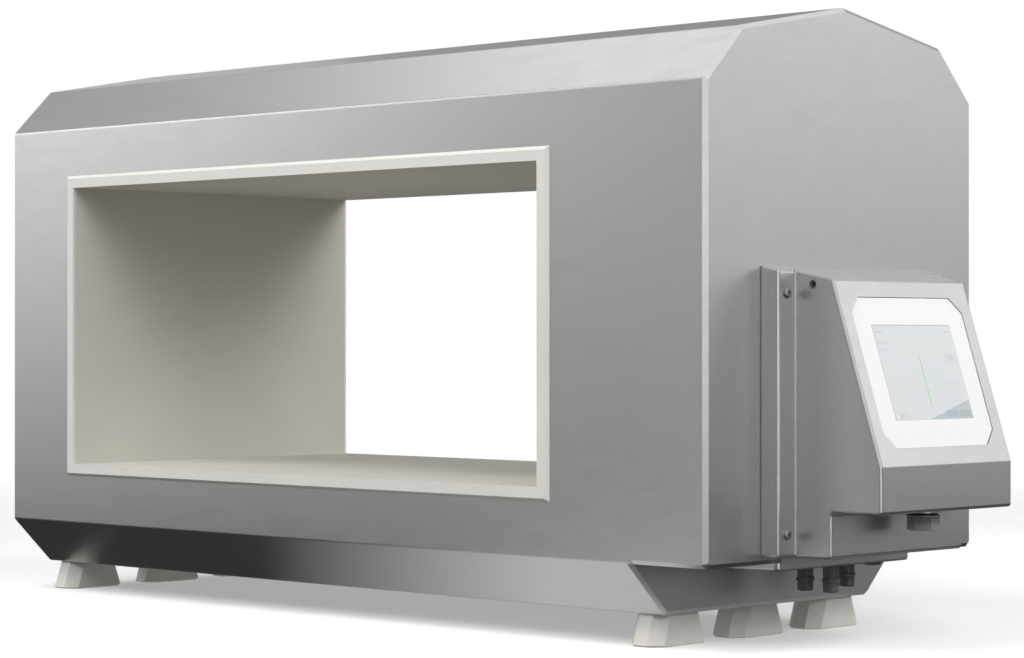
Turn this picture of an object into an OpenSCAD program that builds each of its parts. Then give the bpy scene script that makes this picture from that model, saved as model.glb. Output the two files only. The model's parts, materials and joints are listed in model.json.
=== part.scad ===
// Conveyor metal detector: a tunnel head in folded stainless sheet on six insulating feet,
// with a touch-screen control unit on its right end. Millimetres, +Z up, front towards -Y.
// The origin is the centre of the overall footprint, on the plane of the feet.

/* [Casing] */
// Free space in the electronics bay, between the shield plate and the power supply
bay_room = 66; // [40:1:300]
// Depth of the casing, front face to rear face
case_depth = 394; // [370:1:500]
// Height of the flat front face, between its lower and upper bends
face_h = 429; // [405:1:600]
// Width and height of the 45 degree shoulder above each face
shoulder = 49; // [40:1:70]
// Rise of the roof from its edges to the ridge
ridge_rise = 27; // [15:1:40]
// Width and height of the 45 degree keel below each face
keel_drop = 49; // [40:1:60]
// Distance that the keel stops short of the control end
keel_inset = 88; // [84:1:130]
// Thickness of the folded casing sheet
case_sheet = 2.5; // [2:0.1:3.5]
// Outer radius of the casing's bends
bend_r = 4.5; // [4.2:0.1:8]
// Thickness of the end plates, and width of the ground bevel round them
end_bevel = 4; // [3:0.1:4]

/* [Aperture] */
// Width of the tunnel opening
opening_w = 700; // [500:1:716]
// Height of the tunnel opening
opening_h = 300; // [150:1:320]
// Distance from the left end face to the opening
opening_left = 115; // [95:1:130]
// Wall of the plastic tunnel liner
liner_wall = 10; // [6:0.5:14]
// Width of the flat rim round each mouth of the tunnel
rim_face = 10; // [8:0.5:18]
// Height and width of the rim's outer bevel
rim_bevel = 3.2; // [2:0.1:5]

/* [Coils] */
// Wall of the coil former round the liner
former_wall = 8; // [7:0.5:12]
// Width of each coil's winding along the tunnel
coil_w = 16; // [8:0.5:24]
// Height of each coil's winding
coil_h = 5; // [3:0.5:6]
// Distance between neighbouring coils
coil_pitch = 110; // [60:1:150]
// Thickness of the resin collar round the former
resin_wall = 20; // [12:1:24]

/* [Feet] */
// Height of each foot
foot_h = 30; // [24:1:60]
// Length of a foot's underside, across the casing
foot_len = 79; // [76:1:100]
// Length of a foot's top, across the casing
foot_top_len = 60; // [58:1:74]
// Width of a foot, along the casing
foot_w = 40; // [36:1:50]
// Chamfer on a foot's upright corners
foot_corner = 11.5; // [6:0.5:13]
// Distance from the top of an outer foot to the keel's bend beside it
foot_side = 4; // [4:0.5:13]
// Distance from the keel's end to the middle of a foot
foot_inset = 28; // [26:1:60]
// Radius of the hole for the conveyor's fixing bolt
foot_bore_r = 5.5; // [4.5:0.1:6.5]

/* [Control unit] */
// Width of the hood's face on each side of the bezel
hood_edge = 16; // [12:0.5:18]
// Width of the flange on each side of the hood
flange_w = 24; // [20:0.5:30]
// Distance from the end face to the cover's side flanges
step_out = 20; // [18:0.5:28]
// Height of the cover's underside above the casing's lower bend
cover_low = 6.5; // [5:0.5:20]
// Height of the cover's top at the end face, above the lower bend
cover_high = 266; // [262:1:290]
// Distance from the end face to the brow, where the screen face starts
brow_out = 61.5; // [58:0.5:70]
// Height of the brow above the lower bend
brow_high = 253.5; // [250:0.5:256]
// Distance from the end face to the chin
chin_out = 115; // [110:1:130]
// Height of the chin's upper bend above the lower bend
chin_high = 89.5; // [84:0.5:91]
// Height of the chin's underside above the lower bend
chin_low = 47.5; // [44:0.5:55]
// Distance from the end face to the front below the chin
knee_out = 60; // [56:0.5:66]
// Thickness of the cover's sheet
cover_sheet = 2; // [1.5:0.1:2.4]
// Outer radius of the cover's bends
cover_bend = 3; // [2.8:0.1:5]
// Thickness of the seal behind the cover
cover_seal = 1; // [0.5:0.1:3]

/* [Screen] */
// Width of the white bezel, across the hood
bezel_w = 164; // [150:1:166]
// Height of the white bezel, along the slope
bezel_h = 139.5; // [130:0.5:142]
// Chamfer on the bezel's corners
bezel_corner = 14.5; // [8:0.5:18]
// Width of the display window
window_w = 116.5; // [90:0.5:118]
// Height of the display window
window_h = 89; // [70:0.5:92]
// Thickness of the bezel
bezel_t = 3; // [2.5:0.1:5]
// Depth of the bezel's face below the hood's face
bezel_recess = 1; // [0.5:0.1:1.5]

/* [Service port] */
// Width across the flats of the cap
cap_flats = 25; // [22:0.5:27]
// Height of the cap's hexagon
cap_hex_h = 12; // [8:0.5:14]
// Radius of the cap's round flange
cap_rim_r = 15; // [14.8:0.1:17]
// Radius of the socket's threaded bore
port_bore_r = 8; // [6:0.1:9]

/* [Cable entries] */
// Width across the flats of a gland
gland_flats = 16; // [15:0.5:18]
// Radius of a gland's dome nut
gland_nut_r = 7.5; // [7.2:0.1:8]
// Length of a gland's dome nut
gland_nut_h = 9; // [8:0.5:14]
// Radius of a gland's cable bore
gland_bore_r = 3.5; // [2:0.1:4]
// Distance between glands along the casing
gland_pitch_x = 30; // [26:0.5:32]
// Distance between glands across the casing
gland_pitch_y = 62; // [40:1:64]
// Depth of the cable tray below the casing's lower bend
tray_drop = 7.4; // [6:0.1:20]

/* [Hidden] */

// Overrun of every cut, and the least radius of a blended corner
over = 1;
least_r = 0.3;
// Right angle in degrees
right_angle = 90;
// Segments in a bend, and in a rolled edge
bend_n = 4;
edge_n = 3;
// Clearance round pieces that are dropped into a cut-out, round loose pins, and behind screwed caps
fit_gap = 0.4;
pin_gap = 0.1;
seat_gap = 0.3;

// Levels: underside of the keel, lower bend, upper bend, roof edge and ridge
keel_z = foot_h;
low_z = keel_z + keel_drop;
high_z = low_z + face_h;
roof_z = high_z + shoulder;
ridge_z = roof_z + ridge_rise;
// Thicknesses and gaps of the bay, which add up with the tunnel to the length of the casing
shield_t = 3;
shield_gap = 12;
supply_t = 38;
plate_t = 3;
plate_gap = 37;
bay_len = shield_gap + shield_t + bay_room + supply_t + plate_t + plate_gap + end_bevel;
case_len = opening_left + opening_w + liner_wall + former_wall + resin_wall + bay_len;
// Ends of the casing, with the control unit inside the overall box
right_x = (case_len - chin_out) / 2;
left_x = right_x - case_len;
right_in_x = right_x - end_bevel;
left_in_x = left_x + end_bevel;
keel_x = right_x - keel_inset;
keel_in_x = keel_x - end_bevel;
face_y = case_depth / 2;
// Width of the lips that the casing halves turn under the keel and the bay
keel_lip = 6;
bay_lip = 10;

// Tunnel
open_x = left_x + opening_left + opening_w / 2;
open_z = low_z + face_h / 2;
liner_w = opening_w + 2 * liner_wall;
liner_h = opening_h + 2 * liner_wall;
former_w = liner_w + 2 * former_wall;
former_h = liner_h + 2 * former_wall;
former_end = face_y - case_sheet;
coil_corner_share = 2.5;
coil_corner = coil_corner_share * (former_wall - coil_h);
coil_seat_w = former_w - 2 * coil_h;
coil_seat_h = former_h - 2 * coil_h;

// Electronics bay
shield_x = open_x + former_w / 2 + resin_wall + shield_gap;
shield_hole_r = 12;
plate_x = right_in_x - plate_gap - plate_t;
plate_w = 300;
plate_h = 350;
plate_up = 41;
plate_z = low_z + plate_up;
post_r = 6;
post_edge = 15;
board_t = 1.6;
board_w = 180;
board_h = 180;
board_lift = 8;
board_x = plate_x + plate_t + board_lift;
board_post_r = 3;
board_edge = 8;
supply_w = 100;
supply_h = 160;
supply_edge = 2;
cable_r = 5;
sleeve_r = 6;
sleeve_lap = 3;
cable_up = 120;
board_up = 70;
cable_z = low_z + cable_up;
board_z = cable_z + board_up;
grommet_r = 20;
grommet_lip = 3;
grommet_lip_t = 2;
plug_l = 14;
plug_w = 20;
plug_h = 16;

// Feet and their fixings
foot_xs = [left_x + foot_inset, keel_x - foot_inset];
foot_pitch = face_y - keel_drop - foot_top_len / 2 - foot_side;
foot_ys = [-foot_pitch, 0, foot_pitch];
foot_base = 1.5;
foot_draw = 0.8;
foot_screw_r = 3;
foot_head_r = 5;
foot_head_h = 6;
foot_head_z = 4;
foot_screw_off = 21;
bush_r = 9;
bush_bore_r = 5;
bush_h = 20;
nut_r = 5;
nut_h = 12;

// Control unit
hood_w = bezel_w + 2 * hood_edge;
base_w = hood_w + 2 * flange_w;
base_x = right_x + cover_seal;
step_x = right_x + step_out;
rail_side = 1;
rail_w = flange_w - 2 * (cover_sheet + rail_side);
rail_t = 3;
rail_end = 12;
flange_screw_low = 27.2;
flange_screw_high = 241.4;
flange_screw_y = (base_w + hood_w) / 4;
screw_r = 2.4;
screw_head_r = 4.75;
screw_head_h = 2.75;
screw_l = 14;
screw_key = 3;
screw_key_depth = 1.6;
tap_r = 2.5;
seal_w = 4;
side_hole_r = 4;
side_hole_out = 39.6;
side_hole_drop = 9;
side_insert_l = 12;
side_insert_sink = 0.8;
side_insert_wall = 1.3;

// Screen, in the frame of the sloping face
slope_run = chin_out - brow_out;
slope_fall = brow_high - chin_high;
slope_tilt = atan(slope_run / slope_fall);
screen_x = right_x + (brow_out + chin_out) / 2;
screen_z = low_z + (brow_high + chin_high) / 2;
bezel_back = bezel_recess + bezel_t;
frame_t = 3;
frame_over = 8;
frame_gap = 1;
window_sink = 0.2;
window_gap = 0.15;
lcd_edge = 7;
lcd_t = 10;
hmi_lift = 12.4;
hmi_over = 16;
hmi_post_r = 3;
hmi_post_edge = 4;
stud_r = 2;
stud_l = 12;
stud_edge = 3;
stud_nut = 7;
stud_nut_h = 3.2;
hmi_back = bezel_back + hmi_lift + board_t;
cable_reach = 45;
cable_bend_x = right_x + cable_reach;

// Service port
port_x = right_x + (knee_out + chin_out) / 2;
port_z = low_z + chin_low;
port_stem_r = 11;
port_stem_h = 22;
port_collar_r = 14;
port_collar_h = 2.2;
port_depth = 14;
port_seal_r = 13;
port_seal_h = 1.6;
port_nut_flats = 30;
port_nut_h = 6;
port_slot_w = 13;
port_slot_h = 6;
port_tail_l = 2;
cap_top = -port_collar_h - seat_gap - port_seal_h;
cap_rim_h = 2;
cap_spigot_l = 10;
cap_chamfer = 1.6;
cap_turn = 6;
cap_fit = 0.06;

// Cable tray and glands
tray_len = 75;
tray_r = 5;
tray_wall = 2.5;
tray_end = 5;
tray_edge = 2.5;
tray_lip = hood_w / 2 - tray_r;
floor_lap = 4;
gland_first = 13;
gland_side = 26;
gland_ring_h = 3.6;
gland_drop = 12;
gland_thread_r = 5.9;
gland_oring_h = 0.8;
gland_oring_r = 7.2;
gland_spigot_r = 7.5;
gland_tail_l = 6;
gland_nut_floor = 1.4;
gland_mouth_r = 4.3;
gland_round = 1.6;
lock_nut_flats = 15;
lock_nut_h = 3;
lock_nut_spare = 1;
plug_head_r = 9;
plug_head_h = 3;
gland_xs = [right_x - gland_first, right_x - gland_first - gland_pitch_x];
gland_ys = [gland_side - gland_pitch_y / 2, gland_side + gland_pitch_y / 2];
gland_spots = [[gland_xs[1], gland_ys[0]], [gland_xs[0], gland_ys[0]], [gland_xs[1], gland_ys[1]]];
plug_spot = [gland_xs[0], gland_ys[1]];
tray_z = low_z - tray_drop;
gland_z = tray_z - gland_drop;
nut_z = gland_z - gland_ring_h;
nut_low_z = nut_z - seat_gap - gland_nut_h;
gland_end_l = tray_wall + lock_nut_h + lock_nut_spare;

// Finishes
steel = [0.66, 0.66, 0.65];
bright_steel = [0.78, 0.78, 0.77];
off_white = [0.80, 0.79, 0.75];
foot_grey = [0.68, 0.67, 0.63];
black = [0.12, 0.12, 0.13];
resin = [0.55, 0.47, 0.33];
copper = [0.72, 0.43, 0.25];
board_green = [0.10, 0.35, 0.20];
pale_blue = [0.85, 0.88, 0.89];

// Outline helpers

function unit(v) = v / norm(v);

function turned(v, a) = [v[0] * cos(a) - v[1] * sin(a), v[0] * sin(a) + v[1] * cos(a)];

// Points of the arc that rounds corner b between a and c
function corner_arc(a, b, c, r, n) =
    r == 0 ? [b] :
    let (
        u = unit(a - b),
        v = unit(c - b),
        half = acos(u * v) / 2,
        start = b + u * r / tan(half),
        centre = b + unit(u + v) * r / sin(half),
        side = sign(cross(b - a, c - b))
    )
    [for (k = [0:n]) centre + turned(start - centre, side * 2 * (right_angle - half) * k / n)];

// Outline with each corner rounded by its own radius
function rounded(points, radii, n = bend_n) =
    let (m = len(points))
    [for (i = [0:m - 1])
        each corner_arc(points[(i + m - 1) % m], points[i], points[(i + 1) % m], radii[i], n)];

// Anticlockwise outline moved inwards by d
function inset(points, d) =
    let (m = len(points))
    [for (i = [0:m - 1])
        let (
            e = unit(points[i] - points[(i + m - 1) % m]),
            f = unit(points[(i + 1) % m] - points[i]),
            p = [-e[1], e[0]],
            q = [-f[1], f[0]]
        )
        points[i] + (p + q) * d / (1 + p * q)];

// Radii that keep an inset outline parallel: smaller outside a bend, larger inside it
function inset_radii(points, radii, d) =
    let (m = len(points))
    [for (i = [0:m - 1])
        let (before = points[i] - points[(i + m - 1) % m], after = points[(i + 1) % m] - points[i])
        radii[i] == 0 ? 0 : cross(before, after) > 0 ? max(radii[i] - d, least_r) : radii[i] + d];

function inset_outline(points, radii, d) = rounded(inset(points, d), inset_radii(points, radii, d));

function box_points(w, h) = [[-w / 2, -h / 2], [w / 2, -h / 2], [w / 2, h / 2], [-w / 2, h / 2]];

function octagon(w, h, c) = [
    [-w / 2 + c, -h / 2], [w / 2 - c, -h / 2], [w / 2, -h / 2 + c], [w / 2, h / 2 - c],
    [w / 2 - c, h / 2], [-w / 2 + c, h / 2], [-w / 2, h / 2 - c], [-w / 2, -h / 2 + c]
];

function same(r, points) = [for (p = points) r];

function ring_x(outline, x) = [for (p = outline) [x, p[0], p[1]]];
function ring_y(outline, y) = [for (p = outline) [p[0], y, p[1]]];
function ring_z(outline, z) = [for (p = outline) [p[0], p[1], z]];

// Solid through rings with the same number of points
module loft(rings) {
    n = len(rings[0]);
    last = len(rings) - 1;
    polyhedron(
        points = [for (ring = rings) each ring],
        faces = concat(
            [[for (i = [0:n - 1]) i]],
            [[for (i = [n:-1:1]) last * n + i % n]],
            [for (j = [0:last - 1], i = [0:n - 1])
                each let (a = j * n + i, b = j * n + (i + 1) % n) [[a, a + n, b + n], [a, b + n, b]]]
        )
    );
}

// Profile in X and Z, drawn across the part, with both of its side edges rolled over
module rolled_across(points, radii, width, r) {
    angles = [for (k = [edge_n:-1:0]) 90 * k / edge_n];
    loft(concat(
        [for (a = angles)
            ring_y(inset_outline(points, radii, r * (1 - cos(a))), width / 2 - r + r * sin(a))],
        [for (k = [edge_n:-1:0])
            let (a = angles[k])
            ring_y(inset_outline(points, radii, r * (1 - cos(a))), r - width / 2 - r * sin(a))]
    ));
}

module along_x(from, to) {
    translate([from, 0, 0]) rotate([90, 0, 90]) linear_extrude(to - from) children();
}

module along_y(from, to) {
    translate([0, to, 0]) rotate([90, 0, 0]) linear_extrude(to - from) children();
}

module rod_x(r, from, to) {
    translate([from, 0, 0]) rotate([0, 90, 0]) cylinder(r = r, h = to - from, $fn = 48);
}

module slab(low, high) {
    translate(low) cube(high - low);
}

module both_sides() {
    children();
    mirror([0, 1, 0]) children();
}

// Rectangular tube round the tunnel
module tunnel_tube(w, h, wall, from, to) {
    translate([open_x, 0, open_z]) along_y(from, to) difference() {
        square([w + 2 * wall, h + 2 * wall], center = true);
        square([w, h], center = true);
    }
}

// Casing

keel_points = [
    [keel_drop - face_y, keel_z], [face_y - keel_drop, keel_z], [face_y, low_z], [face_y, high_z],
    [face_y - shoulder, roof_z], [0, ridge_z], [shoulder - face_y, roof_z], [-face_y, high_z],
    [-face_y, low_z]
];
bay_points = [
    [end_bevel - face_y, low_z], [face_y - end_bevel, low_z], [face_y, low_z + end_bevel], [face_y, high_z],
    [face_y - shoulder, roof_z], [0, ridge_z], [shoulder - face_y, roof_z], [-face_y, high_z],
    [-face_y, low_z + end_bevel]
];
keel_radii = same(bend_r, keel_points);
bay_radii = [0, 0, 0, bend_r, bend_r, bend_r, bend_r, bend_r, 0];

// Half of the folded sheet, from the ridge down to its lips under the keel and the bay
module casing_half() {
    bottom = keel_z - over;
    difference() {
        union() {
            along_x(left_in_x, keel_in_x) difference() {
                polygon(rounded(keel_points, keel_radii));
                polygon(inset_outline(keel_points, keel_radii, case_sheet));
                translate([keel_drop + keel_lip - face_y, bottom])
                    square([2 * face_y, case_sheet + 2 * over]);
                translate([0, bottom]) square([face_y + over, ridge_z]);
            }
            along_x(keel_in_x, right_in_x) difference() {
                polygon(rounded(bay_points, bay_radii));
                polygon(inset_outline(bay_points, bay_radii, case_sheet));
                translate([end_bevel + bay_lip - face_y, low_z - over])
                    square([2 * face_y, case_sheet + 2 * over]);
                translate([0, low_z - over]) square([face_y + over, ridge_z]);
            }
        }
        translate([open_x, 0, open_z]) along_y(-face_y - over, over - face_y + case_sheet)
            square([liner_w + 2 * fit_gap, liner_h + 2 * fit_gap], center = true);
    }
}

module front_casing() {
    color(steel) casing_half();
}

module rear_casing() {
    color(steel) mirror([0, 1, 0]) casing_half();
}

module keel_plate() {
    half = face_y - keel_drop - keel_lip;
    color(steel) difference() {
        slab([left_in_x, -half, keel_z], [keel_in_x, half, keel_z + case_sheet]);
        at_feet() fixing_holes(foot_bore_r, foot_screw_r + fit_gap, keel_z - over, case_sheet + 2 * over);
    }
}

module left_end_plate() {
    color(steel) loft([
        ring_x(inset_outline(keel_points, keel_radii, end_bevel), left_x),
        ring_x(rounded(keel_points, keel_radii), left_in_x)
    ]);
}

module right_end_plate() {
    color(steel) difference() {
        loft([
            ring_x(rounded(bay_points, bay_radii), right_in_x),
            ring_x(inset_outline(bay_points, bay_radii, end_bevel), right_x)
        ]);
        translate([0, 0, cable_z]) rod_x(grommet_r, right_in_x - over, right_x + over);
        slab([right_in_x - over, -tray_lip, low_z - over], [right_x + over, tray_lip, low_z + end_bevel]);
    }
}

// Close of the keel, with the bevel that runs round from the bay's lower edge
module keel_end_plate() {
    half = face_y - keel_drop;
    outer = [[-half, keel_z], [half, keel_z], [face_y, low_z], [-face_y, low_z]];
    inner = [
        [-half, keel_z + end_bevel], [half, keel_z + end_bevel],
        [face_y - end_bevel, low_z], [end_bevel - face_y, low_z]
    ];
    radii = [bend_r, bend_r, 0, 0];
    tight = [least_r, least_r, 0, 0];
    color(steel) {
        loft([ring_x(rounded(outer, radii), keel_in_x), ring_x(rounded(inner, tight), keel_x)]);
        both_sides() corner_gusset();
    }
}

module corner_gusset() {
    polyhedron(
        points = [
            [keel_in_x, -face_y, low_z + end_bevel], [keel_in_x, -face_y, low_z],
            [keel_in_x, end_bevel - face_y, low_z], [keel_x, end_bevel - face_y, low_z]
        ],
        faces = [[0, 1, 2], [0, 2, 3], [0, 3, 1], [1, 3, 2]]
    );
}

module bay_floor() {
    half = face_y - end_bevel - bay_lip;
    color(steel) difference() {
        slab([keel_in_x, -half, low_z], [right_in_x, half, low_z + case_sheet]);
        slab(
            [right_x - tray_len + floor_lap, floor_lap - hood_w / 2, low_z - over],
            [right_in_x + over, hood_w / 2 - floor_lap, low_z + case_sheet + over]
        );
    }
}

// Tunnel

module tunnel_liner() {
    color(off_white) tunnel_tube(opening_w, opening_h, liner_wall, -face_y, face_y);
}

// Rim round a mouth of the tunnel: flat face with a bevelled outer edge
module mouth_rim() {
    wide = opening_w + 2 * (rim_face + rim_bevel);
    tall = opening_h + 2 * (rim_face + rim_bevel);
    translate([open_x, 0, open_z]) difference() {
        loft([
            ring_y(box_points(wide, tall), -face_y),
            ring_y(box_points(wide - 2 * rim_bevel, tall - 2 * rim_bevel), -face_y - rim_bevel)
        ]);
        along_y(-face_y - rim_bevel - over, over - face_y) square([opening_w, opening_h], center = true);
    }
}

module front_rim() {
    color(off_white) mouth_rim();
}

module rear_rim() {
    color(off_white) mirror([0, 1, 0]) mouth_rim();
}

module coil_seat() {
    polygon(rounded(box_points(coil_seat_w, coil_seat_h), same(coil_corner, [0, 0, 0, 0])));
}

module coil_former() {
    color(off_white) difference() {
        tunnel_tube(liner_w, liner_h, former_wall, -former_end, former_end);
        for (y = [-coil_pitch, 0, coil_pitch])
            translate([open_x, 0, open_z]) along_y(y - coil_w / 2 - fit_gap, y + coil_w / 2 + fit_gap)
                difference() {
                    square([former_w + over, former_h + over], center = true);
                    coil_seat();
                }
    }
}

module coil(y) {
    outer = box_points(former_w, former_h);
    color(copper) translate([open_x, 0, open_z]) along_y(y - coil_w / 2, y + coil_w / 2) difference() {
        polygon(rounded(outer, same(coil_corner + coil_h, outer)));
        coil_seat();
    }
}

module transmit_coil() {
    coil(0);
}

module front_receive_coil() {
    coil(-coil_pitch);
}

module rear_receive_coil() {
    coil(coil_pitch);
}

module resin_collar() {
    color(resin) tunnel_tube(former_w, former_h, resin_wall, -former_end, former_end);
}

// Electronics bay

module shield_plate() {
    color(bright_steel) difference() {
        along_x(shield_x, shield_x + shield_t)
            polygon(inset_outline(keel_points, keel_radii, case_sheet));
        translate([0, 0, cable_z]) rod_x(shield_hole_r, shield_x - over, shield_x + shield_t + over);
    }
}

module mounting_plate() {
    color(bright_steel)
        slab([plate_x, -plate_w / 2, plate_z], [plate_x + plate_t, plate_w / 2, plate_z + plate_h]);
}

module plate_standoffs() {
    half = plate_w / 2 - post_edge;
    color(bright_steel) for (y = [-half, half], z = [plate_z + post_edge, plate_z + plate_h - post_edge])
        translate([0, y, z]) rod_x(post_r, plate_x + plate_t, right_in_x);
}

// Board with its connector, transformer and capacitors; parts as shares of the board
module main_board() {
    block_shares = [[-0.3, 0.62, 0.24, 0.24], [0.02, 0.72, 0.18, 0.16], [0.26, 0.45, 0.16, 0.3]];
    block_h = 14;
    can_shares = [[-0.34, 0.3], [-0.2, 0.3], [0.3, 0.85]];
    can_r = 7;
    can_h = 20;
    face = board_x + board_t;
    color(board_green) {
        translate([board_x, -board_w / 2, board_z - board_h / 2]) cube([board_t, board_w, board_h]);
        slab([face, -plug_w / 2, cable_z - plug_h / 2], [face + plug_l, plug_w / 2, cable_z + plug_h / 2]);
        for (b = block_shares)
            translate([face, b[0] * board_w, board_z + (b[1] - 0.5) * board_h])
                cube([block_h, b[2] * board_w, b[3] * board_h]);
        for (c = can_shares)
            translate([0, c[0] * board_w, board_z + (c[1] - 0.5) * board_h])
                rod_x(can_r, face, face + can_h);
    }
}

module board_standoffs() {
    y = board_w / 2 - board_edge;
    z = board_h / 2 - board_edge;
    color(bright_steel) for (a = [-y, y], b = [-z, z])
        translate([0, a, board_z + b]) rod_x(board_post_r, plate_x + plate_t, board_x);
}

module power_supply() {
    slot_n = 7;
    slot_w = 4;
    face = plate_x - supply_t;
    color(bright_steel) difference() {
        slab(
            [face, -supply_w / 2, board_z - supply_h / 2],
            [plate_x, supply_w / 2, board_z + supply_h / 2]
        );
        for (k = [1:slot_n])
            translate([face - over, -supply_w / 4, board_z + (k / (slot_n + 1) - 0.5) * supply_h])
                cube([supply_edge + over, supply_w / 2, slot_w]);
    }
}

module cable_grommet() {
    t = grommet_lip_t;
    color(black) translate([0, 0, cable_z]) difference() {
        union() {
            rod_x(grommet_r + grommet_lip, right_in_x - t, right_in_x);
            rod_x(grommet_r, right_in_x, right_x);
            rod_x(grommet_r + grommet_lip, right_x, right_x + t);
        }
        rod_x(cable_r + pin_gap, right_in_x - t - over, right_x + t + over);
    }
}

// Lead from the main board, through the grommet, to the display board, with a stiff end sleeve
module data_cable() {
    run = cable_bend_x - screen_x;
    rise = cable_z - screen_z;
    reach = -(run * cos(slope_tilt) + rise * sin(slope_tilt)) - hmi_back - plug_l;
    color(black) translate([0, 0, cable_z]) {
        rod_x(cable_r, board_x + board_t + plug_l, cable_bend_x);
        translate([cable_bend_x, 0, 0]) rotate([0, 90 - slope_tilt, 0]) translate([0, 0, -sleeve_lap])
            cylinder(r = sleeve_r, h = reach + sleeve_lap, $fn = 48);
    }
}

// Feet

module at_feet() {
    for (x = foot_xs, y = foot_ys) translate([x, y, 0]) children();
}

module fixing_holes(bolt_r, screw_hole_r, z, h) {
    translate([0, 0, z]) {
        cylinder(r = bolt_r, h = h, $fn = 48);
        for (y = [-foot_screw_off, foot_screw_off])
            translate([0, y, 0]) cylinder(r = screw_hole_r, h = h, $fn = 48);
    }
}

// Insulating foot: eight-sided block that widens across the casing towards the floor
module foot(x, y) {
    color(foot_grey) translate([x, y, 0]) difference() {
        loft([
            ring_z(octagon(foot_w - 2 * foot_draw, foot_len - 2 * foot_draw, foot_corner), 0),
            ring_z(octagon(foot_w, foot_len, foot_corner), foot_base),
            ring_z(octagon(foot_w - foot_draw, foot_top_len, foot_corner), foot_h)
        ]);
        fixing_holes(foot_bore_r, foot_screw_r + fit_gap, -over, foot_h + 2 * over);
        fixing_holes(foot_bore_r, foot_head_r + fit_gap, -over, foot_head_z + foot_head_h + over);
    }
}

// Threaded bushes for the conveyor's bolts and nuts for the foot screws, welded to the keel plate
module keel_bushes() {
    z = keel_z + case_sheet;
    color(bright_steel) at_feet() {
        translate([0, 0, z]) difference() {
            cylinder(r = bush_r, h = bush_h, $fn = 48);
            translate([0, 0, -over]) cylinder(r = bush_bore_r, h = bush_h + 2 * over, $fn = 48);
        }
        for (y = [-foot_screw_off, foot_screw_off]) translate([0, y, z]) difference() {
            cylinder(r = nut_r, h = nut_h, $fn = 48);
            translate([0, 0, -over]) cylinder(r = foot_screw_r + pin_gap, h = nut_h + 2 * over, $fn = 48);
        }
    }
}

module foot_screws() {
    z = foot_head_z + foot_head_h;
    key_share = 0.5;
    color(bright_steel) at_feet() for (y = [-foot_screw_off, foot_screw_off]) translate([0, y, 0]) {
        translate([0, 0, z]) cylinder(r = foot_screw_r, h = keel_z + case_sheet + nut_h - z, $fn = 48);
        translate([0, 0, foot_head_z]) difference() {
            cylinder(r = foot_head_r, h = foot_head_h, $fn = 48);
            translate([0, 0, -over])
                cylinder(r = key_share * foot_head_r, h = key_share * foot_head_h + over, $fn = 6);
        }
    }
}

// Cable entries

function tray_outline(d) =
    let (
        a = right_x - tray_len + d,
        b = right_x - d,
        h = hood_w / 2 - d,
        points = [[a, -h], [b, -h], [b, h], [a, h]]
    )
    rounded(points, same(tray_r - d, points));

// Shallow pan under the bay, its front wall standing up to the end face
module cable_tray() {
    angles = [for (k = [edge_n:-1:0]) 90 * k / edge_n];
    color(steel) difference() {
        union() {
            loft(concat(
                [for (a = angles)
                    ring_z(tray_outline(tray_edge * (1 - cos(a))), tray_z + tray_edge * (1 - sin(a)))],
                [ring_z(tray_outline(0), low_z)]
            ));
            slab([right_in_x, -tray_lip, low_z], [right_x, tray_lip, low_z + end_bevel]);
        }
        slab(
            [right_x - tray_len + floor_lap, floor_lap - hood_w / 2, tray_z + tray_wall],
            [right_x - tray_end, hood_w / 2 - floor_lap, low_z + over]
        );
        for (p = concat(gland_spots, [plug_spot])) translate([p[0], p[1], tray_z - over])
            cylinder(r = gland_thread_r + pin_gap, h = tray_wall + 2 * over, $fn = 48);
    }
}

module at_glands() {
    for (p = gland_spots) translate([p[0], p[1], 0]) children();
}

module round_tube(outer_r, inner_r, z, h) {
    translate([0, 0, z]) difference() {
        cylinder(r = outer_r, h = h, $fn = 48);
        translate([0, 0, -over]) cylinder(r = inner_r, h = h + 2 * over, $fn = 48);
    }
}

module gland_spigots() {
    low = gland_z + gland_oring_h;
    color(black) at_glands() round_tube(gland_spigot_r, gland_thread_r + pin_gap, low, tray_z - low);
}

module gland_rings() {
    color(black) at_glands() round_tube(gland_oring_r, gland_thread_r + pin_gap, gland_z, gland_oring_h);
}

module gland_bodies() {
    hex_r = gland_flats / 2 / cos(30);
    thread_l = gland_drop + gland_end_l;
    color(black) at_glands() difference() {
        union() {
            translate([0, 0, nut_z]) cylinder(r = hex_r, h = gland_ring_h, $fn = 6);
            translate([0, 0, gland_z]) cylinder(r = gland_thread_r, h = thread_l, $fn = 48);
            translate([0, 0, nut_z - gland_tail_l])
                cylinder(r = gland_thread_r, h = gland_tail_l, $fn = 48);
        }
        translate([0, 0, nut_z - gland_tail_l - over])
            cylinder(r = gland_bore_r, h = gland_tail_l + gland_ring_h + thread_l + 2 * over, $fn = 48);
    }
}

// Nuts inside the tray, on the glands and on the blanking plug
module gland_lock_nuts() {
    color(bright_steel) for (p = concat(gland_spots, [plug_spot]))
        translate([p[0], p[1], tray_z + tray_wall]) difference() {
            rotate([0, 0, 30]) cylinder(r = lock_nut_flats / 2 / cos(30), h = lock_nut_h, $fn = 6);
            translate([0, 0, -over])
                cylinder(r = gland_thread_r + pin_gap, h = lock_nut_h + 2 * over, $fn = 48);
        }
}

// Rubber ring between a gland's end and its nut's floor, loose by half the seat gap on each side
module gland_seal(k) {
    low = nut_low_z + gland_nut_floor + seat_gap / 2;
    top = nut_z - gland_tail_l - seat_gap / 2;
    p = gland_spots[k];
    color(black) translate([p[0], p[1], 0])
        round_tube(gland_thread_r - pin_gap, gland_bore_r, low, top - low);
}

module gland_seal_1() {
    gland_seal(0);
}

module gland_seal_2() {
    gland_seal(1);
}

module gland_seal_3() {
    gland_seal(2);
}

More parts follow.
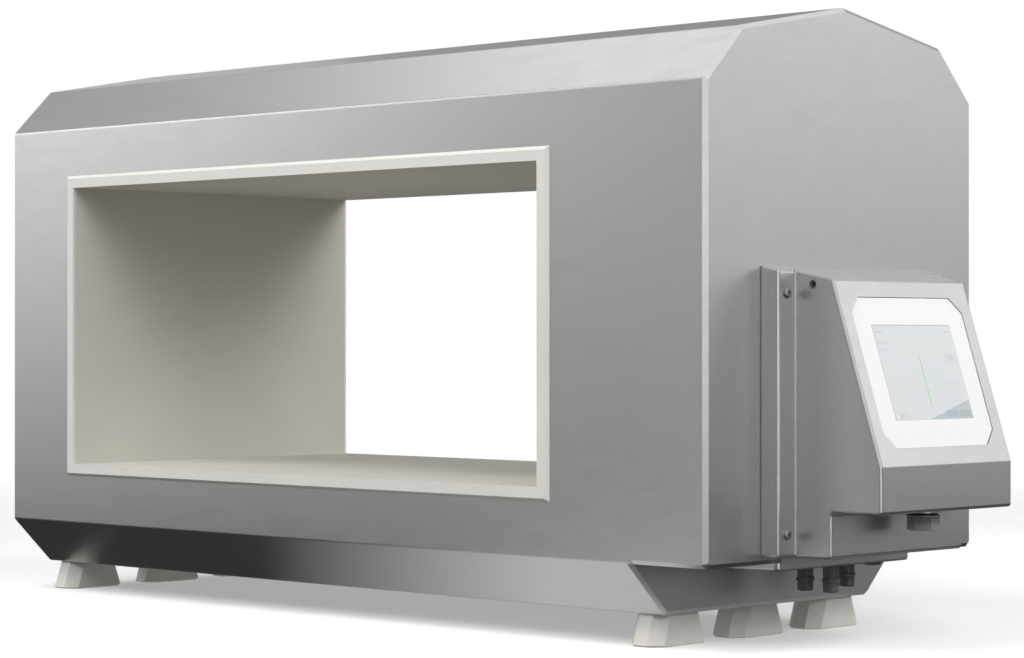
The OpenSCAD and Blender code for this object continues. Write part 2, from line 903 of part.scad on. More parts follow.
// Dome nut with a rounded mouth
module gland_nut(k) {
    bore = gland_thread_r + pin_gap;
    skin = [
        [gland_mouth_r, 0], [gland_nut_r, 0], [gland_nut_r, gland_nut_h], [bore, gland_nut_h],
        [bore, gland_nut_floor], [gland_mouth_r, gland_nut_floor]
    ];
    p = gland_spots[k];
    color(black) translate([p[0], p[1], nut_low_z]) rotate_extrude($fn = 48)
        polygon(rounded(skin, [0, gland_round, least_r, 0, 0, 0]));
}

module gland_nut_1() {
    gland_nut(0);
}

module gland_nut_2() {
    gland_nut(1);
}

module gland_nut_3() {
    gland_nut(2);
}

module blanking_plug() {
    top = tray_z + gland_end_l;
    head = [
        [0, tray_z - plug_head_h], [plug_head_r, tray_z - plug_head_h], [plug_head_r, tray_z],
        [gland_thread_r, tray_z], [gland_thread_r, top], [0, top]
    ];
    color(black) translate([plug_spot[0], plug_spot[1], 0]) rotate_extrude($fn = 48)
        polygon(rounded(head, [0, plug_head_h - least_r, 0, 0, 0, 0]));
}

// Control unit

function out_at(out, high) = [right_x + out, low_z + high];

// Height of the sloping top at a distance from the end face
function top_at(out) = cover_high - (cover_high - brow_high) * out / brow_out;

function base_points(back, front) = [
    out_at(back, cover_low), out_at(front, cover_low),
    out_at(front, top_at(front)), out_at(back, top_at(back))
];

// Starts with the one corner that sees all the others, because the shape is not convex
function hood_points(back) = [
    out_at(back, top_at(back)), out_at(back, cover_low), out_at(knee_out, cover_low),
    out_at(knee_out, chin_low), out_at(chin_out, chin_low), out_at(chin_out, chin_high),
    out_at(brow_out, brow_high)
];

base_radii = [0, cover_bend, cover_bend, 0];
hood_radii = [0, 0, cover_bend, cover_bend, cover_bend, cover_bend, cover_bend];

// Local frame of the sloping face: X down the slope, Y across, Z outwards
module at_screen() {
    translate([screen_x, 0, screen_z]) rotate([0, 90 - slope_tilt, 0]) children();
}

module at_flange_screws() {
    for (y = [-flange_screw_y, flange_screw_y], z = [flange_screw_low, flange_screw_high])
        translate([0, y, low_z + z]) children();
}

module control_cover() {
    edge = cover_bend - least_r;
    deep = -over - cover_bend;
    color(steel) difference() {
        union() {
            rolled_across(base_points(deep, step_out), base_radii, base_w, edge);
            rolled_across(hood_points(0), hood_radii, hood_w, edge);
        }
        along_y(cover_sheet - base_w / 2, base_w / 2 - cover_sheet)
            polygon(inset_outline(base_points(2 * deep, step_out), base_radii, cover_sheet));
        along_y(cover_sheet - hood_w / 2, hood_w / 2 - cover_sheet)
            polygon(inset_outline(hood_points(2 * deep), hood_radii, cover_sheet));
        slab([right_x + 3 * deep, -base_w, 0], [base_x, base_w, ridge_z]);
        at_flange_screws() rod_x(tap_r + pin_gap, step_x - cover_sheet - over, step_x + over);
        both_sides() side_hole(side_hole_r, hood_w / 2 - cover_sheet - over, hood_w / 2 + over);
        at_screen() translate([0, 0, -cover_sheet - over]) linear_extrude(cover_sheet + 2 * over)
            polygon(octagon(bezel_h + 2 * fit_gap, bezel_w + 2 * fit_gap, bezel_corner));
        translate([port_x, 0, port_z - over])
            cylinder(r = port_stem_r + fit_gap, h = cover_sheet + 2 * over, $fn = 48);
    }
}

module side_hole(r, from, to) {
    translate([right_x + side_hole_out, to, low_z + top_at(side_hole_out) - side_hole_drop])
        rotate([90, 0, 0]) cylinder(r = r, h = to - from, $fn = 48);
}

module side_inserts() {
    outer = hood_w / 2 - side_insert_sink;
    color(black) both_sides() difference() {
        side_hole(side_hole_r - pin_gap, outer - side_insert_l, outer);
        side_hole(side_hole_r - side_insert_wall, outer - side_insert_l / 2, outer + over);
    }
}

// Z section on the end face, tapped for the flange screws
module cover_rails() {
    inner = flange_screw_y - rail_w / 2;
    front = step_x - cover_sheet;
    profile = [
        [right_x, inner - rail_t], [right_x + rail_t, inner - rail_t], [right_x + rail_t, inner],
        [front, inner], [front, inner + rail_w], [front - rail_t, inner + rail_w],
        [front - rail_t, inner + rail_t], [right_x, inner + rail_t]
    ];
    low = low_z + cover_low + rail_end;
    high = low_z + top_at(step_out) - rail_end;
    color(bright_steel) both_sides() difference() {
        translate([0, 0, low]) linear_extrude(high - low) polygon(profile);
        at_flange_screws() rod_x(tap_r, front - rail_t - over, front + over);
    }
}

module cover_gasket() {
    outer = box_points(base_w - 2 * least_r, cover_high - cover_low - 2 * least_r);
    mid_z = low_z + (cover_high + cover_low) / 2;
    color(black) translate([0, 0, mid_z]) along_x(right_x, base_x) difference() {
        polygon(outer);
        polygon(inset(outer, seal_w));
    }
}

// Button-head screws with a hexagon key
module cover_screws() {
    color(bright_steel) at_flange_screws() difference() {
        union() {
            rod_x(screw_r, step_x - screw_l, step_x);
            rod_x(screw_head_r, step_x, step_x + least_r);
            translate([step_x + least_r, 0, 0]) rotate([0, 90, 0])
                cylinder(r1 = screw_head_r, r2 = screw_head_r / 2, h = screw_head_h - least_r, $fn = 48);
        }
        translate([step_x + screw_head_h - screw_key_depth, 0, 0]) rotate([0, 90, 0])
            cylinder(r = screw_key / 2 / cos(30), h = screw_key_depth + over, $fn = 6);
    }
}

// Screen

module screen_bezel() {
    color("white") at_screen() translate([0, 0, -bezel_back]) linear_extrude(bezel_t) difference() {
        polygon(octagon(bezel_h, bezel_w, bezel_corner));
        square([window_h, window_w], center = true);
    }
}

module screen_window() {
    color(pale_blue) at_screen() translate([0, 0, -bezel_back]) linear_extrude(bezel_t - window_sink)
        square([window_h - 2 * window_gap, window_w - 2 * window_gap], center = true);
}

module stud_spots() {
    x = bezel_h / 2 + frame_over - stud_edge;
    y = bezel_w / 2 + frame_over - stud_edge;
    for (a = [-x, x], b = [-y, y]) translate([a, b, 0]) children();
}

module stud_holes() {
    stud_spots() translate([0, 0, -bezel_back - frame_t - over])
        cylinder(r = stud_r + fit_gap, h = bezel_back + frame_t + 2 * over, $fn = 48);
}

module screen_gasket() {
    color(black) at_screen() difference() {
        translate([0, 0, -bezel_back]) linear_extrude(bezel_back - cover_sheet) difference() {
            square([bezel_h + 2 * frame_over, bezel_w + 2 * frame_over], center = true);
            polygon(octagon(bezel_h + 2 * frame_gap, bezel_w + 2 * frame_gap, bezel_corner));
        }
        stud_holes();
    }
}

module screen_frame() {
    wide = window_w + 2 * (lcd_edge + frame_gap);
    tall = window_h + 2 * (lcd_edge + frame_gap);
    color(bright_steel) at_screen() difference() {
        translate([0, 0, -bezel_back - frame_t]) linear_extrude(frame_t) difference() {
            square([bezel_h + 2 * frame_over, bezel_w + 2 * frame_over], center = true);
            square([tall, wide], center = true);
        }
        stud_holes();
    }
}

// Weld studs inside the hood, with the nuts that hold the screen frame
module frame_studs() {
    color(bright_steel) at_screen() stud_spots() {
        translate([0, 0, -cover_sheet - stud_l]) cylinder(r = stud_r, h = stud_l, $fn = 48);
        translate([0, 0, -bezel_back - frame_t - stud_nut_h])
            cylinder(r = stud_nut / 2 / cos(30), h = stud_nut_h, $fn = 6);
    }
}

module display_module() {
    color(black) at_screen() translate([0, 0, -bezel_back - lcd_t]) linear_extrude(lcd_t)
        square([window_h + 2 * lcd_edge, window_w + 2 * lcd_edge], center = true);
}

// Board behind the display, on posts from the screen frame, with its connector and chips
module display_board() {
    tall = window_h + 2 * hmi_over;
    wide = window_w + 2 * hmi_over;
    chip_shares = [[-0.3, -0.2], [-0.1, 0.25], [-0.34, 0.2], [0.1, -0.3]];
    chip_w = 14;
    chip_t = 2;
    plug_at = (cable_bend_x - screen_x) * sin(slope_tilt) - (cable_z - screen_z) * cos(slope_tilt);
    color(board_green) at_screen() {
        translate([-tall / 2, -wide / 2, -hmi_back]) cube([tall, wide, board_t]);
        for (a = [-1, 1], b = [-1, 1])
            translate([a * (tall / 2 - hmi_post_edge), b * (wide / 2 - hmi_post_edge), board_t - hmi_back])
                cylinder(r = hmi_post_r, h = hmi_lift - frame_t, $fn = 48);
        for (c = chip_shares)
            translate([c[0] * tall, c[1] * wide, -hmi_back - chip_t]) cube([chip_w, chip_w, chip_t]);
        translate([plug_at - plug_h / 2, -plug_w / 2, -hmi_back - plug_l]) cube([plug_h, plug_w, plug_l]);
    }
}

// Service port

module port_socket() {
    color(bright_steel) translate([port_x, 0, port_z]) difference() {
        union() {
            translate([0, 0, -port_collar_h]) cylinder(r = port_collar_r, h = port_collar_h, $fn = 64);
            cylinder(r = port_stem_r, h = port_stem_h, $fn = 64);
        }
        translate([0, 0, -port_collar_h - over]) cylinder(r = port_bore_r, h = port_depth + over, $fn = 64);
        translate([-port_slot_w / 2, -port_slot_h / 2, 0])
            cube([port_slot_w, port_slot_h, port_stem_h + over]);
    }
}

module port_lock_nut() {
    color(bright_steel) translate([port_x, 0, port_z + cover_sheet]) difference() {
        cylinder(r = port_nut_flats / 2 / cos(30), h = port_nut_h, $fn = 6);
        translate([0, 0, -over]) cylinder(r = port_stem_r, h = port_nut_h + 2 * over, $fn = 64);
    }
}

module port_connector() {
    low = port_depth - port_collar_h;
    color(black) translate([port_x - port_slot_w / 2, -port_slot_h / 2, port_z + low])
        cube([port_slot_w, port_slot_h, port_stem_h - low + port_tail_l]);
}

module port_seal() {
    color(black) translate([port_x, 0, 0])
        round_tube(port_seal_r, port_bore_r + fit_gap, port_z + cap_top, port_seal_h);
}

// Screw cap: round flange, chamfered hexagon and the threaded spigot inside the socket
module port_cap() {
    corner = cap_flats / 2 / cos(30);
    mouth = corner - cap_chamfer;
    color(bright_steel) translate([port_x, 0, port_z + cap_top]) rotate([0, 0, cap_turn]) {
        translate([0, 0, -cap_rim_h]) cylinder(r = cap_rim_r, h = cap_rim_h, $fn = 64);
        cylinder(r = port_bore_r - cap_fit, h = cap_spigot_l, $fn = 64);
        translate([0, 0, -cap_rim_h - cap_hex_h]) intersection() {
            cylinder(r = corner, h = cap_hex_h, $fn = 6);
            cylinder(r1 = mouth, r2 = mouth + 2 * cap_hex_h, h = cap_hex_h, $fn = 64);
        }
    }
}

front_casing();
rear_casing();
keel_plate();
left_end_plate();
right_end_plate();
keel_end_plate();
bay_floor();
tunnel_liner();
front_rim();
rear_rim();
coil_former();
transmit_coil();
front_receive_coil();
rear_receive_coil();
resin_collar();
shield_plate();
mounting_plate();
plate_standoffs();
main_board();
board_standoffs();
power_supply();
data_cable();
cable_grommet();
foot(foot_xs[0], foot_ys[0]);  // foot_front_left
foot(foot_xs[0], foot_ys[1]);  // foot_middle_left
foot(foot_xs[0], foot_ys[2]);  // foot_rear_left
foot(foot_xs[1], foot_ys[0]);  // foot_front_right
foot(foot_xs[1], foot_ys[1]);  // foot_middle_right
foot(foot_xs[1], foot_ys[2]);  // foot_rear_right
keel_bushes();
foot_screws();
cable_tray();
gland_spigots();
gland_rings();
gland_bodies();
gland_lock_nuts();
gland_seal_1();
gland_seal_2();
gland_seal_3();
gland_nut_1();
gland_nut_2();
gland_nut_3();
blanking_plug();
cover_rails();
cover_gasket();
control_cover();
cover_screws();
side_inserts();
screen_bezel();
screen_window();
screen_gasket();
screen_frame();
frame_studs();
display_module();
display_board();
port_socket();
port_lock_nut();
port_connector();
port_seal();
port_cap();
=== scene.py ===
"""Looks of a conveyor metal detector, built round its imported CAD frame.

Every size is in metres, in the frame's own axes: +X towards the control unit, +Y towards the rear
mouth of the tunnel, +Z up, with the feet standing on Z = 0.
"""

from __future__ import annotations

import json
import logging
import math
from collections.abc import Callable, Sequence
from dataclasses import dataclass, field
from enum import Enum
from functools import partial

import bmesh
import bpy
from mathutils import Matrix, Vector

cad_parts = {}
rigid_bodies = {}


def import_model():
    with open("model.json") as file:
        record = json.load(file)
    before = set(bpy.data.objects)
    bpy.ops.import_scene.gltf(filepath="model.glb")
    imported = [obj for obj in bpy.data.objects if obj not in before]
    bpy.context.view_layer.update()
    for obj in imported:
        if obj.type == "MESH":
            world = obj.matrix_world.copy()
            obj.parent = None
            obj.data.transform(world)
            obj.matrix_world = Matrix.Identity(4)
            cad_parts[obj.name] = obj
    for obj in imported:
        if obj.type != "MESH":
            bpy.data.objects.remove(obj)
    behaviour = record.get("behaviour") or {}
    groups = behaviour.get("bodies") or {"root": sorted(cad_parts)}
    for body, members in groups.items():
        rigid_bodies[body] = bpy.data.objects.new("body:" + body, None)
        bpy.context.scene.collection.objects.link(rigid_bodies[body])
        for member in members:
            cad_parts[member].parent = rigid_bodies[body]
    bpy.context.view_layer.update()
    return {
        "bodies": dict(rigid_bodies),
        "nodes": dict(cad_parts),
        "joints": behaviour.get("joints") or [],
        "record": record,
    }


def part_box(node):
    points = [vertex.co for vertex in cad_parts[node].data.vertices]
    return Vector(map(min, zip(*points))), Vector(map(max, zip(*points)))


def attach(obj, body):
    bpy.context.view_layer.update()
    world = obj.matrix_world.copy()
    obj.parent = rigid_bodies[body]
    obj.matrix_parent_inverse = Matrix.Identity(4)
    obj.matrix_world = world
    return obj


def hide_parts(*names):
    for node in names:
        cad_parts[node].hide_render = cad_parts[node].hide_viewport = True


LOG = logging.getLogger("detector")
WHITE = (1.0, 1.0, 1.0, 1.0)

Flat = tuple[float, float]
Point = tuple[float, float, float]
Colour = tuple[float, float, float]
Outline = Sequence[Flat]
Piece = bpy.types.Object
Socket = bpy.types.NodeSocket
Value = float | Sequence[float] | Socket
Run = tuple[Socket, float, float]
Bump = tuple[Socket, float]


class Body(Enum):
    """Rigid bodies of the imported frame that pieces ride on."""

    HEAD = "head"
    CAP = "cap"
    NUT_1 = "nut_1"
    NUT_2 = "nut_2"
    NUT_3 = "nut_3"


class Slot(Enum):
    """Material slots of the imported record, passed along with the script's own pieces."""

    BLASTED_STEEL = "blasted_steel"
    BRIGHT_STEEL = "bright_steel"
    DARK_METAL = "dark_metal"
    BLACK_PLASTIC = "black_plastic"
    WHITE_BEZEL = "white_bezel"
    DISPLAY_WINDOW = "display_window"


# Procedural finishes


class Tree:
    """Node tree of a material or of the world, emptied for new nodes."""

    def __init__(self, owner: bpy.types.Material | bpy.types.World) -> None:
        """Empties the tree.

        Args:
            owner: Material or world that the tree belongs to.
        """
        owner.use_nodes = True
        self.nodes = owner.node_tree.nodes
        self.links = owner.node_tree.links
        self.nodes.clear()

    def feed(self, node: bpy.types.Node, values: dict[str | int, Value]) -> None:
        """Joins sockets to a node's inputs or sets values on them.

        Args:
            node: The node.
            values: Sockets and values by the input's number, or its name with underscores for spaces.
        """
        for name, value in values.items():
            target = node.inputs[name.replace("_", " ") if isinstance(name, str) else name]
            if isinstance(value, Socket):
                self.links.new(value, target)
            else:
                target.default_value = value

    def node(self, kind: str, *sources: Socket, **values: Value) -> bpy.types.Node:
        """Adds a node.

        Args:
            kind: The node's type, without the words that all types start with.
            sources: Sockets that feed its first inputs.
            values: Sockets and values of other inputs, named with underscores for spaces.

        Returns:
            The new node.
        """
        made = self.nodes.new(f"ShaderNode{kind}")
        self.feed(made, {**dict(enumerate(sources)), **values})
        return made

    def larger(self, first: Socket, second: Socket) -> Socket:
        """Compares two values.

        Args:
            first: One value.
            second: The other value.

        Returns:
            Socket with the larger of them.
        """
        made = self.node("Math", first, second)
        made.operation = "MAXIMUM"
        return made.outputs[0]


class Shader(Tree):
    """Builds the node tree of one procedural material."""

    spread: Flat = (0.3, 0.7)  # Part of a texture's range that most of its values lie in

    def __init__(self, name: str) -> None:
        """Starts a material with a Principled shader.

        Args:
            name: Name of the material.
        """
        self.material = bpy.data.materials.new(name)
        super().__init__(self.material)
        self.surface = self.node("BsdfPrincipled")
        self.node("OutputMaterial", self.surface.outputs["BSDF"])
        self.place = self.node("TexCoord").outputs["Object"]

    def noise(self, scale: float, detail: float = 2.0, stretch: Point | None = None) -> Socket:
        """Adds noise, by cells per metre and octaves, on coordinates stretched by a factor for each axis."""
        place = self.node("Mapping", self.place, Scale=stretch).outputs[0] if stretch else self.place
        return self.node("TexNoise", place, Scale=scale, Detail=detail).outputs["Fac"]

    def cells(self, scale: float) -> Socket:
        """Adds cells, so many per metre, and gives the distance from their middles."""
        return self.node("TexVoronoi", self.place, Scale=scale).outputs["Distance"]

    def bands(self, scale: float, axis: str, distortion: float = 0.0) -> Socket:
        """Adds straight bands.

        Args:
            scale: Bands per 2 pi metres.
            axis: Axis that the bands step along, X, Y or Z.
            distortion: How far noise bends the bands.

        Returns:
            Socket with the wave value.
        """
        made = self.node("TexWave", self.place, Scale=scale, Distortion=distortion)
        made.bands_direction = axis
        return made.outputs["Fac"]

    def tint(self, value: Socket, dark: Colour, light: Colour) -> Socket:
        """Runs from a dark to a light colour by a texture.

        Args:
            value: Texture value.
            dark: Colour at its low values.
            light: Colour at its high values.

        Returns:
            Socket with the colour.
        """
        made = self.node("ValToRGB", value)
        for stop, position, colour in zip(made.color_ramp.elements, self.spread, (dark, light)):
            stop.position = position
            stop.color = (*colour, 1.0)
        return made.outputs["Color"]

    def rough(self, value: Socket, low: float, high: float) -> Socket:
        """Runs from a low to a high roughness by a texture."""
        start, end = self.spread
        return self.node("MapRange", value, From_Min=start, From_Max=end, To_Min=low, To_Max=high).outputs[0]

    def relief(self, heights: Sequence[Bump]) -> Socket:
        """Chains bumps.

        Args:
            heights: Pairs of a texture socket and the height in metres that it stands for.

        Returns:
            Socket with the normal.
        """
        below = {}
        for height, distance in heights:
            below = {"Normal": self.node("Bump", Height=height, Distance=distance, **below).outputs[0]}
        return below["Normal"]


@dataclass(frozen=True)
class Finish:
    """A finish that makes its Blender material once."""

    name: str
    colour: Colour  # Linear base colour
    roughness: float  # Middle roughness

    def material(self) -> bpy.types.Material:
        """Gives the finish's material, made on first use.

        Returns:
            The material.
        """
        found = bpy.data.materials.get(self.name)
        if found is None:
            shader = Shader(self.name)
            self.dress(shader)
            found = shader.material
        return found

    def dress(self, shader: Shader) -> None:
        """Adds the finish's textures to a shader."""
        raise NotImplementedError

    def cover(self, shader: Shader, tone: Run, sheen: Run, *bumps: Bump, **values: float) -> None:
        """Feeds the shader's own sockets from the finish's textures.

        Args:
            shader: Shader of the material.
            tone: Texture of the colour, and the colour's factors at its low and high values.
            sheen: Texture of the roughness, and what that gains at its low and high values.
            bumps: Pairs of a texture and the height in metres that it stands for.
            values: Fixed values of other sockets.
        """
        value, *shades = tone
        dark, light = (tuple(min(1.0, part * shade) for part in self.colour) for shade in shades)
        colour = shader.tint(value, dark, light)
        value, low, high = sheen
        rough = shader.rough(value, self.roughness + low, self.roughness + high)
        own = {"Base_Color": colour, "Roughness": rough, "Normal": shader.relief(bumps), **values}
        shader.feed(shader.surface, own)


def coat(weight: float, roughness: float) -> dict[str, float]:
    """Gives the values of a clear top layer."""
    return {"Coat_Weight": weight, "Coat_Roughness": roughness}


@dataclass(frozen=True)
class BlastedSteel(Finish):
    """Stainless sheet, evenly blasted with fine glass beads."""

    grain: float = 1500.0  # Dimples per metre
    speckle: float = 620.0  # Coarser grains per metre
    cloud: float = 5.0  # Patches of slightly different sheen per metre

    def dress(self, shader: Shader) -> None:
        """Adds dimples, speckle, soft clouds of sheen and fine handling marks.

        Args:
            shader: Shader of the material.
        """
        dimples = (shader.noise(self.grain, 3.0), 0.00002)
        grains = shader.noise(self.speckle)
        clouds = (shader.noise(self.cloud, 4.0), 0.00045)
        tone = (grains, 0.955, 1.045)
        wipes = (shader.noise(26.0, 5.0, (1.0, 1.0, 4.0)), -0.02, 0.03)
        self.cover(shader, tone, wipes, dimples, (grains, 0.00003), clouds, Metallic=1.0)


@dataclass(frozen=True)
class TurnedSteel(Finish):
    """Plain, plated or coated metal of small turned and rolled parts."""

    metal: float = 1.0  # Share of bare metal in what the surface shows

    def dress(self, shader: Shader) -> None:
        """Adds a little mottling and fine tool marks."""
        spots, marks = shader.noise(180.0, 3.0), (shader.bands(900.0, "Z", 1.5), 0.000008)
        self.cover(shader, (spots, 0.9, 1.08), (spots, -0.05, 0.06), marks, Metallic=self.metal)


@dataclass(frozen=True)
class RolledAluminium(Finish):
    """Aluminium sheet with its rolling direction along Z."""

    def dress(self, shader: Shader) -> None:
        """Adds long fine streaks."""
        streaks = shader.noise(90.0, 5.0, (14.0, 14.0, 0.6))
        self.cover(shader, (streaks, 0.93, 1.04), (streaks, -0.05, 0.08), (streaks, 0.00001), Metallic=1.0)


@dataclass(frozen=True)
class MouldedPlastic(Finish):
    """Matt plastic or laminate with a fine spark-eroded grain."""

    grain: float  # Grains per metre
    depth: float  # Depth of the grain in metres
    mottle: float  # How far the tone strays, as a share
    gloss: float  # Specular level of the surface

    def dress(self, shader: Shader) -> None:
        """Adds the grain, a faint mottling and worn patches of sheen.

        Args:
            shader: Shader of the material.
        """
        grain = (shader.noise(self.grain), self.depth)
        patches = shader.noise(14.0, 4.0)
        tone = (patches, 1.0 - self.mottle, 1.0 + self.mottle)
        self.cover(shader, tone, (patches, -0.05, 0.05), grain, Specular_IOR_Level=self.gloss)


@dataclass(frozen=True)
class MachinedPlastic(Finish):
    """Plastic cut from bar, with faint cutter lines across its faces."""

    def dress(self, shader: Shader) -> None:
        """Adds cutter lines, speckle and a soft tone change.

        Args:
            shader: Shader of the material.
        """
        lines = (shader.bands(420.0, "Z", 2.0), 0.000012)
        speckle = shader.noise(900.0)
        tone, sheen = (shader.noise(40.0, 3.0), 0.95, 1.04), (speckle, -0.06, 0.06)
        self.cover(shader, tone, sheen, lines, (speckle, 0.00001), Specular_IOR_Level=0.35)


@dataclass(frozen=True)
class WoundCopper(Finish):
    """Enamelled wire, wound side by side and bound with varnish."""

    def dress(self, shader: Shader) -> None:
        """Adds the turns as fine bands across the winding."""
        turns, spots = (shader.bands(4200.0, "Y"), 0.0001), shader.noise(60.0, 4.0)
        self.cover(shader, (spots, 0.8, 1.1), (spots, 0.0, 0.12), turns, Metallic=1.0, **coat(0.5, 0.2))


@dataclass(frozen=True)
class CastResin(Finish):
    """Potting resin with a flow pattern and small bubbles."""

    def dress(self, shader: Shader) -> None:
        """Adds flow marks and bubbles."""
        flow, bubbles = shader.noise(22.0, 6.0), (shader.cells(260.0), 0.0001)
        self.cover(shader, (flow, 0.82, 1.12), (flow, -0.08, 0.08), (flow, 0.0004), bubbles)


@dataclass(frozen=True)
class CircuitBoard(Finish):
    """Solder mask over copper tracks."""

    def dress(self, shader: Shader) -> None:
        """Adds the tracks as a cell pattern under the mask."""
        tracks, mask = shader.cells(170.0), (shader.noise(700.0), -0.05, 0.05)
        self.cover(shader, (tracks, 0.7, 1.5), mask, (tracks, 0.00008), **coat(0.4, 0.15))


@dataclass(frozen=True)
class MouldedRubber(Finish):
    """Black or grey rubber with a dusty bloom."""

    def dress(self, shader: Shader) -> None:
        """Adds the bloom and a fine leathery grain."""
        bloom, grain = shader.noise(70.0, 5.0), (shader.cells(1400.0), 0.00003)
        self.cover(shader, (bloom, 0.85, 1.35), (bloom, -0.06, 0.08), grain, Specular_IOR_Level=0.3)


@dataclass(frozen=True)
class PrintedFoil(Finish):
    """Front foil or display face: even colour, fine texture, clear top layer."""

    texture: float = 2200.0  # Cells of the fine surface texture per metre
    depth: float = 0.000004  # Depth of that texture in metres

    def dress(self, shader: Shader) -> None:
        """Adds the fine texture, a faint unevenness of tone and the clear layer.

        Args:
            shader: Shader of the material.
        """
        fine = shader.noise(self.texture)
        tone, sheen = (shader.noise(18.0, 3.0), 0.99, 1.008), (fine, -0.03, 0.03)
        self.cover(shader, tone, sheen, (fine, self.depth), Specular_IOR_Level=0.4, **coat(0.25, 0.12))


STEEL = BlastedSteel("blasted steel", (0.66, 0.66, 0.655), 0.34)
TURNED = TurnedSteel("turned steel", (0.60, 0.60, 0.59), 0.30)
BUTTON = TurnedSteel("button head steel", (0.42, 0.42, 0.415), 0.46)
# Lighter than the blasted sheet: a painted highlight along the corners between hood and flanges
BEAD_PAINTED_HIGHLIGHT = TurnedSteel("weld bead", (0.74, 0.74, 0.73), 0.36)
DARK = TurnedSteel("dark coating", (0.27, 0.27, 0.27), 0.38, 0.35)
SHEET = RolledAluminium("rolled aluminium", (0.74, 0.74, 0.75), 0.34)
RIM = MouldedPlastic("rim plastic", (0.80, 0.785, 0.735), 0.46, 900.0, 0.00003, 0.015, 0.4)
LINER = MouldedPlastic("liner laminate", (0.66, 0.645, 0.59), 0.50, 900.0, 0.00003, 0.02, 0.3)
FOOT = MachinedPlastic("foot plastic", (0.92, 0.90, 0.835), 0.50)
GLAND = MouldedPlastic("gland plastic", (0.170, 0.170, 0.172), 0.42, 1500.0, 0.00002, 0.10, 0.5)
INSERT = MouldedPlastic("dark insert", (0.17, 0.17, 0.17), 0.45, 1500.0, 0.00002, 0.08, 0.4)
COPPER = WoundCopper("wound copper", (0.72, 0.36, 0.18), 0.34)
RESIN = CastResin("potting resin", (0.42, 0.33, 0.19), 0.42)
BOARD = CircuitBoard("circuit board", (0.03, 0.17, 0.09), 0.38)
RUBBER = MouldedRubber("black rubber", (0.025, 0.025, 0.026), 0.62)
GASKET = MouldedRubber("grey gasket", (0.24, 0.24, 0.24), 0.62)
BEZEL = PrintedFoil("white bezel foil", (0.765, 0.765, 0.765), 0.40, 1300.0, 0.00001)
# Painted shade: a darker tone that stands for the shade in the creases of the bezel's foil
CREASE_PAINTED_SHADE = PrintedFoil("bezel crease painted shade", (0.72, 0.73, 0.74), 0.5)
DISPLAY = PrintedFoil("display face", (0.590, 0.612, 0.622), 0.34, 2600.0, 0.000002)
TILE = PrintedFoil("display tile", (0.555, 0.582, 0.597), 0.34)
TILE_EDGE = PrintedFoil("display tile edge", (0.50, 0.53, 0.55), 0.36)
MARK = PrintedFoil("display mark", (0.36, 0.41, 0.45), 0.36)
# Printed slate of the display, also used for the painted shade along the window's top and left edges
SLATE_AND_PAINTED_SHADE = PrintedFoil("display slate", (0.41, 0.455, 0.49), 0.34)
SLATE_TILE = PrintedFoil("display slate tile", (0.35, 0.395, 0.43), 0.34)
FAINT = PrintedFoil("display faint line", (0.565, 0.588, 0.600), 0.34)
GREEN = PrintedFoil("display green line", (0.30, 0.62, 0.30), 0.34)
YELLOW = PrintedFoil("display yellow mark", (0.82, 0.70, 0.36), 0.34)
BLUE = PrintedFoil("display blue mark", (0.36, 0.52, 0.72), 0.34)


# Mesh making


def around(count: int, reach: Callable[[float], float]) -> list[Flat]:
    """Gives points at even angles round the axis, anticlockwise, with their reach given by the angle."""
    angles = [2.0 * math.pi * k / count for k in range(count)]
    return [(reach(angle) * math.cos(angle), reach(angle) * math.sin(angle)) for angle in angles]


def hexagon(flats: float, count: int) -> list[Flat]:
    """Gives points on a hexagon of a width across the flats, at even angles so that it joins a circle."""
    sector = math.pi / 3.0
    return around(count, lambda angle: flats / 2.0 / math.cos((angle % sector) - sector / 2.0))


def at(outline: Outline, height: float) -> list[Point]:
    """Lifts a flat outline to a height."""
    return [(x, y, height) for x, y in outline]


def hoops(count: int, *stops: Flat) -> list[list[Point]]:
    """Gives circles round the axis, each with its radius and height."""
    return [at(around(count, lambda _, reach=radius: reach), height) for radius, height in stops]


def shown(name: str, data: bpy.types.ID) -> Piece:
    """Puts a mesh, lamp or camera in the scene.

    Args:
        name: Name of the object.
        data: The mesh, lamp or camera.

    Returns:
        The new object.
    """
    made = bpy.data.objects.new(name, data)
    bpy.context.scene.collection.objects.link(made)
    return made


def meshed(name: str, work: bmesh.types.BMesh, smooth_angle: float = 35.0) -> Piece:
    """Turns a work mesh into an object.

    Args:
        name: Name of the object.
        work: The work mesh, freed afterwards.
        smooth_angle: Largest angle in degrees that is still shaded smooth.

    Returns:
        The new object.
    """
    mesh = bpy.data.meshes.new(name)
    work.to_mesh(mesh)
    work.free()
    for polygon in mesh.polygons:
        polygon.use_smooth = True
    mesh.set_sharp_from_angle(angle=math.radians(smooth_angle))
    return shown(name, mesh)


def skin(
    name: str, rings: Sequence[Sequence[Point]], smooth_angle: float = 35.0, hollow: bool = False
) -> Piece:
    """Makes a closed mesh through rings with the same number of points.

    Args:
        name: Name of the piece.
        rings: Rings of points, each in the same order round the piece.
        smooth_angle: Largest angle in degrees that is still shaded smooth.
        hollow: Whether the last ring is joined back to the first, or else both are closed flat.

    Returns:
        The new object.
    """
    work = bmesh.new()
    loops = [[work.verts.new(point) for point in ring] for ring in rings]
    for lower, upper in zip(loops, loops[1:] + loops[:1] if hollow else loops[1:]):
        count = len(lower)
        for k in range(count):
            work.faces.new((lower[k], lower[(k + 1) % count], upper[(k + 1) % count], upper[k]))
    if not hollow:
        work.faces.new(list(reversed(loops[0])))
        work.faces.new(loops[-1])
    bmesh.ops.recalc_face_normals(work, faces=work.faces)
    return meshed(name, work, smooth_angle)


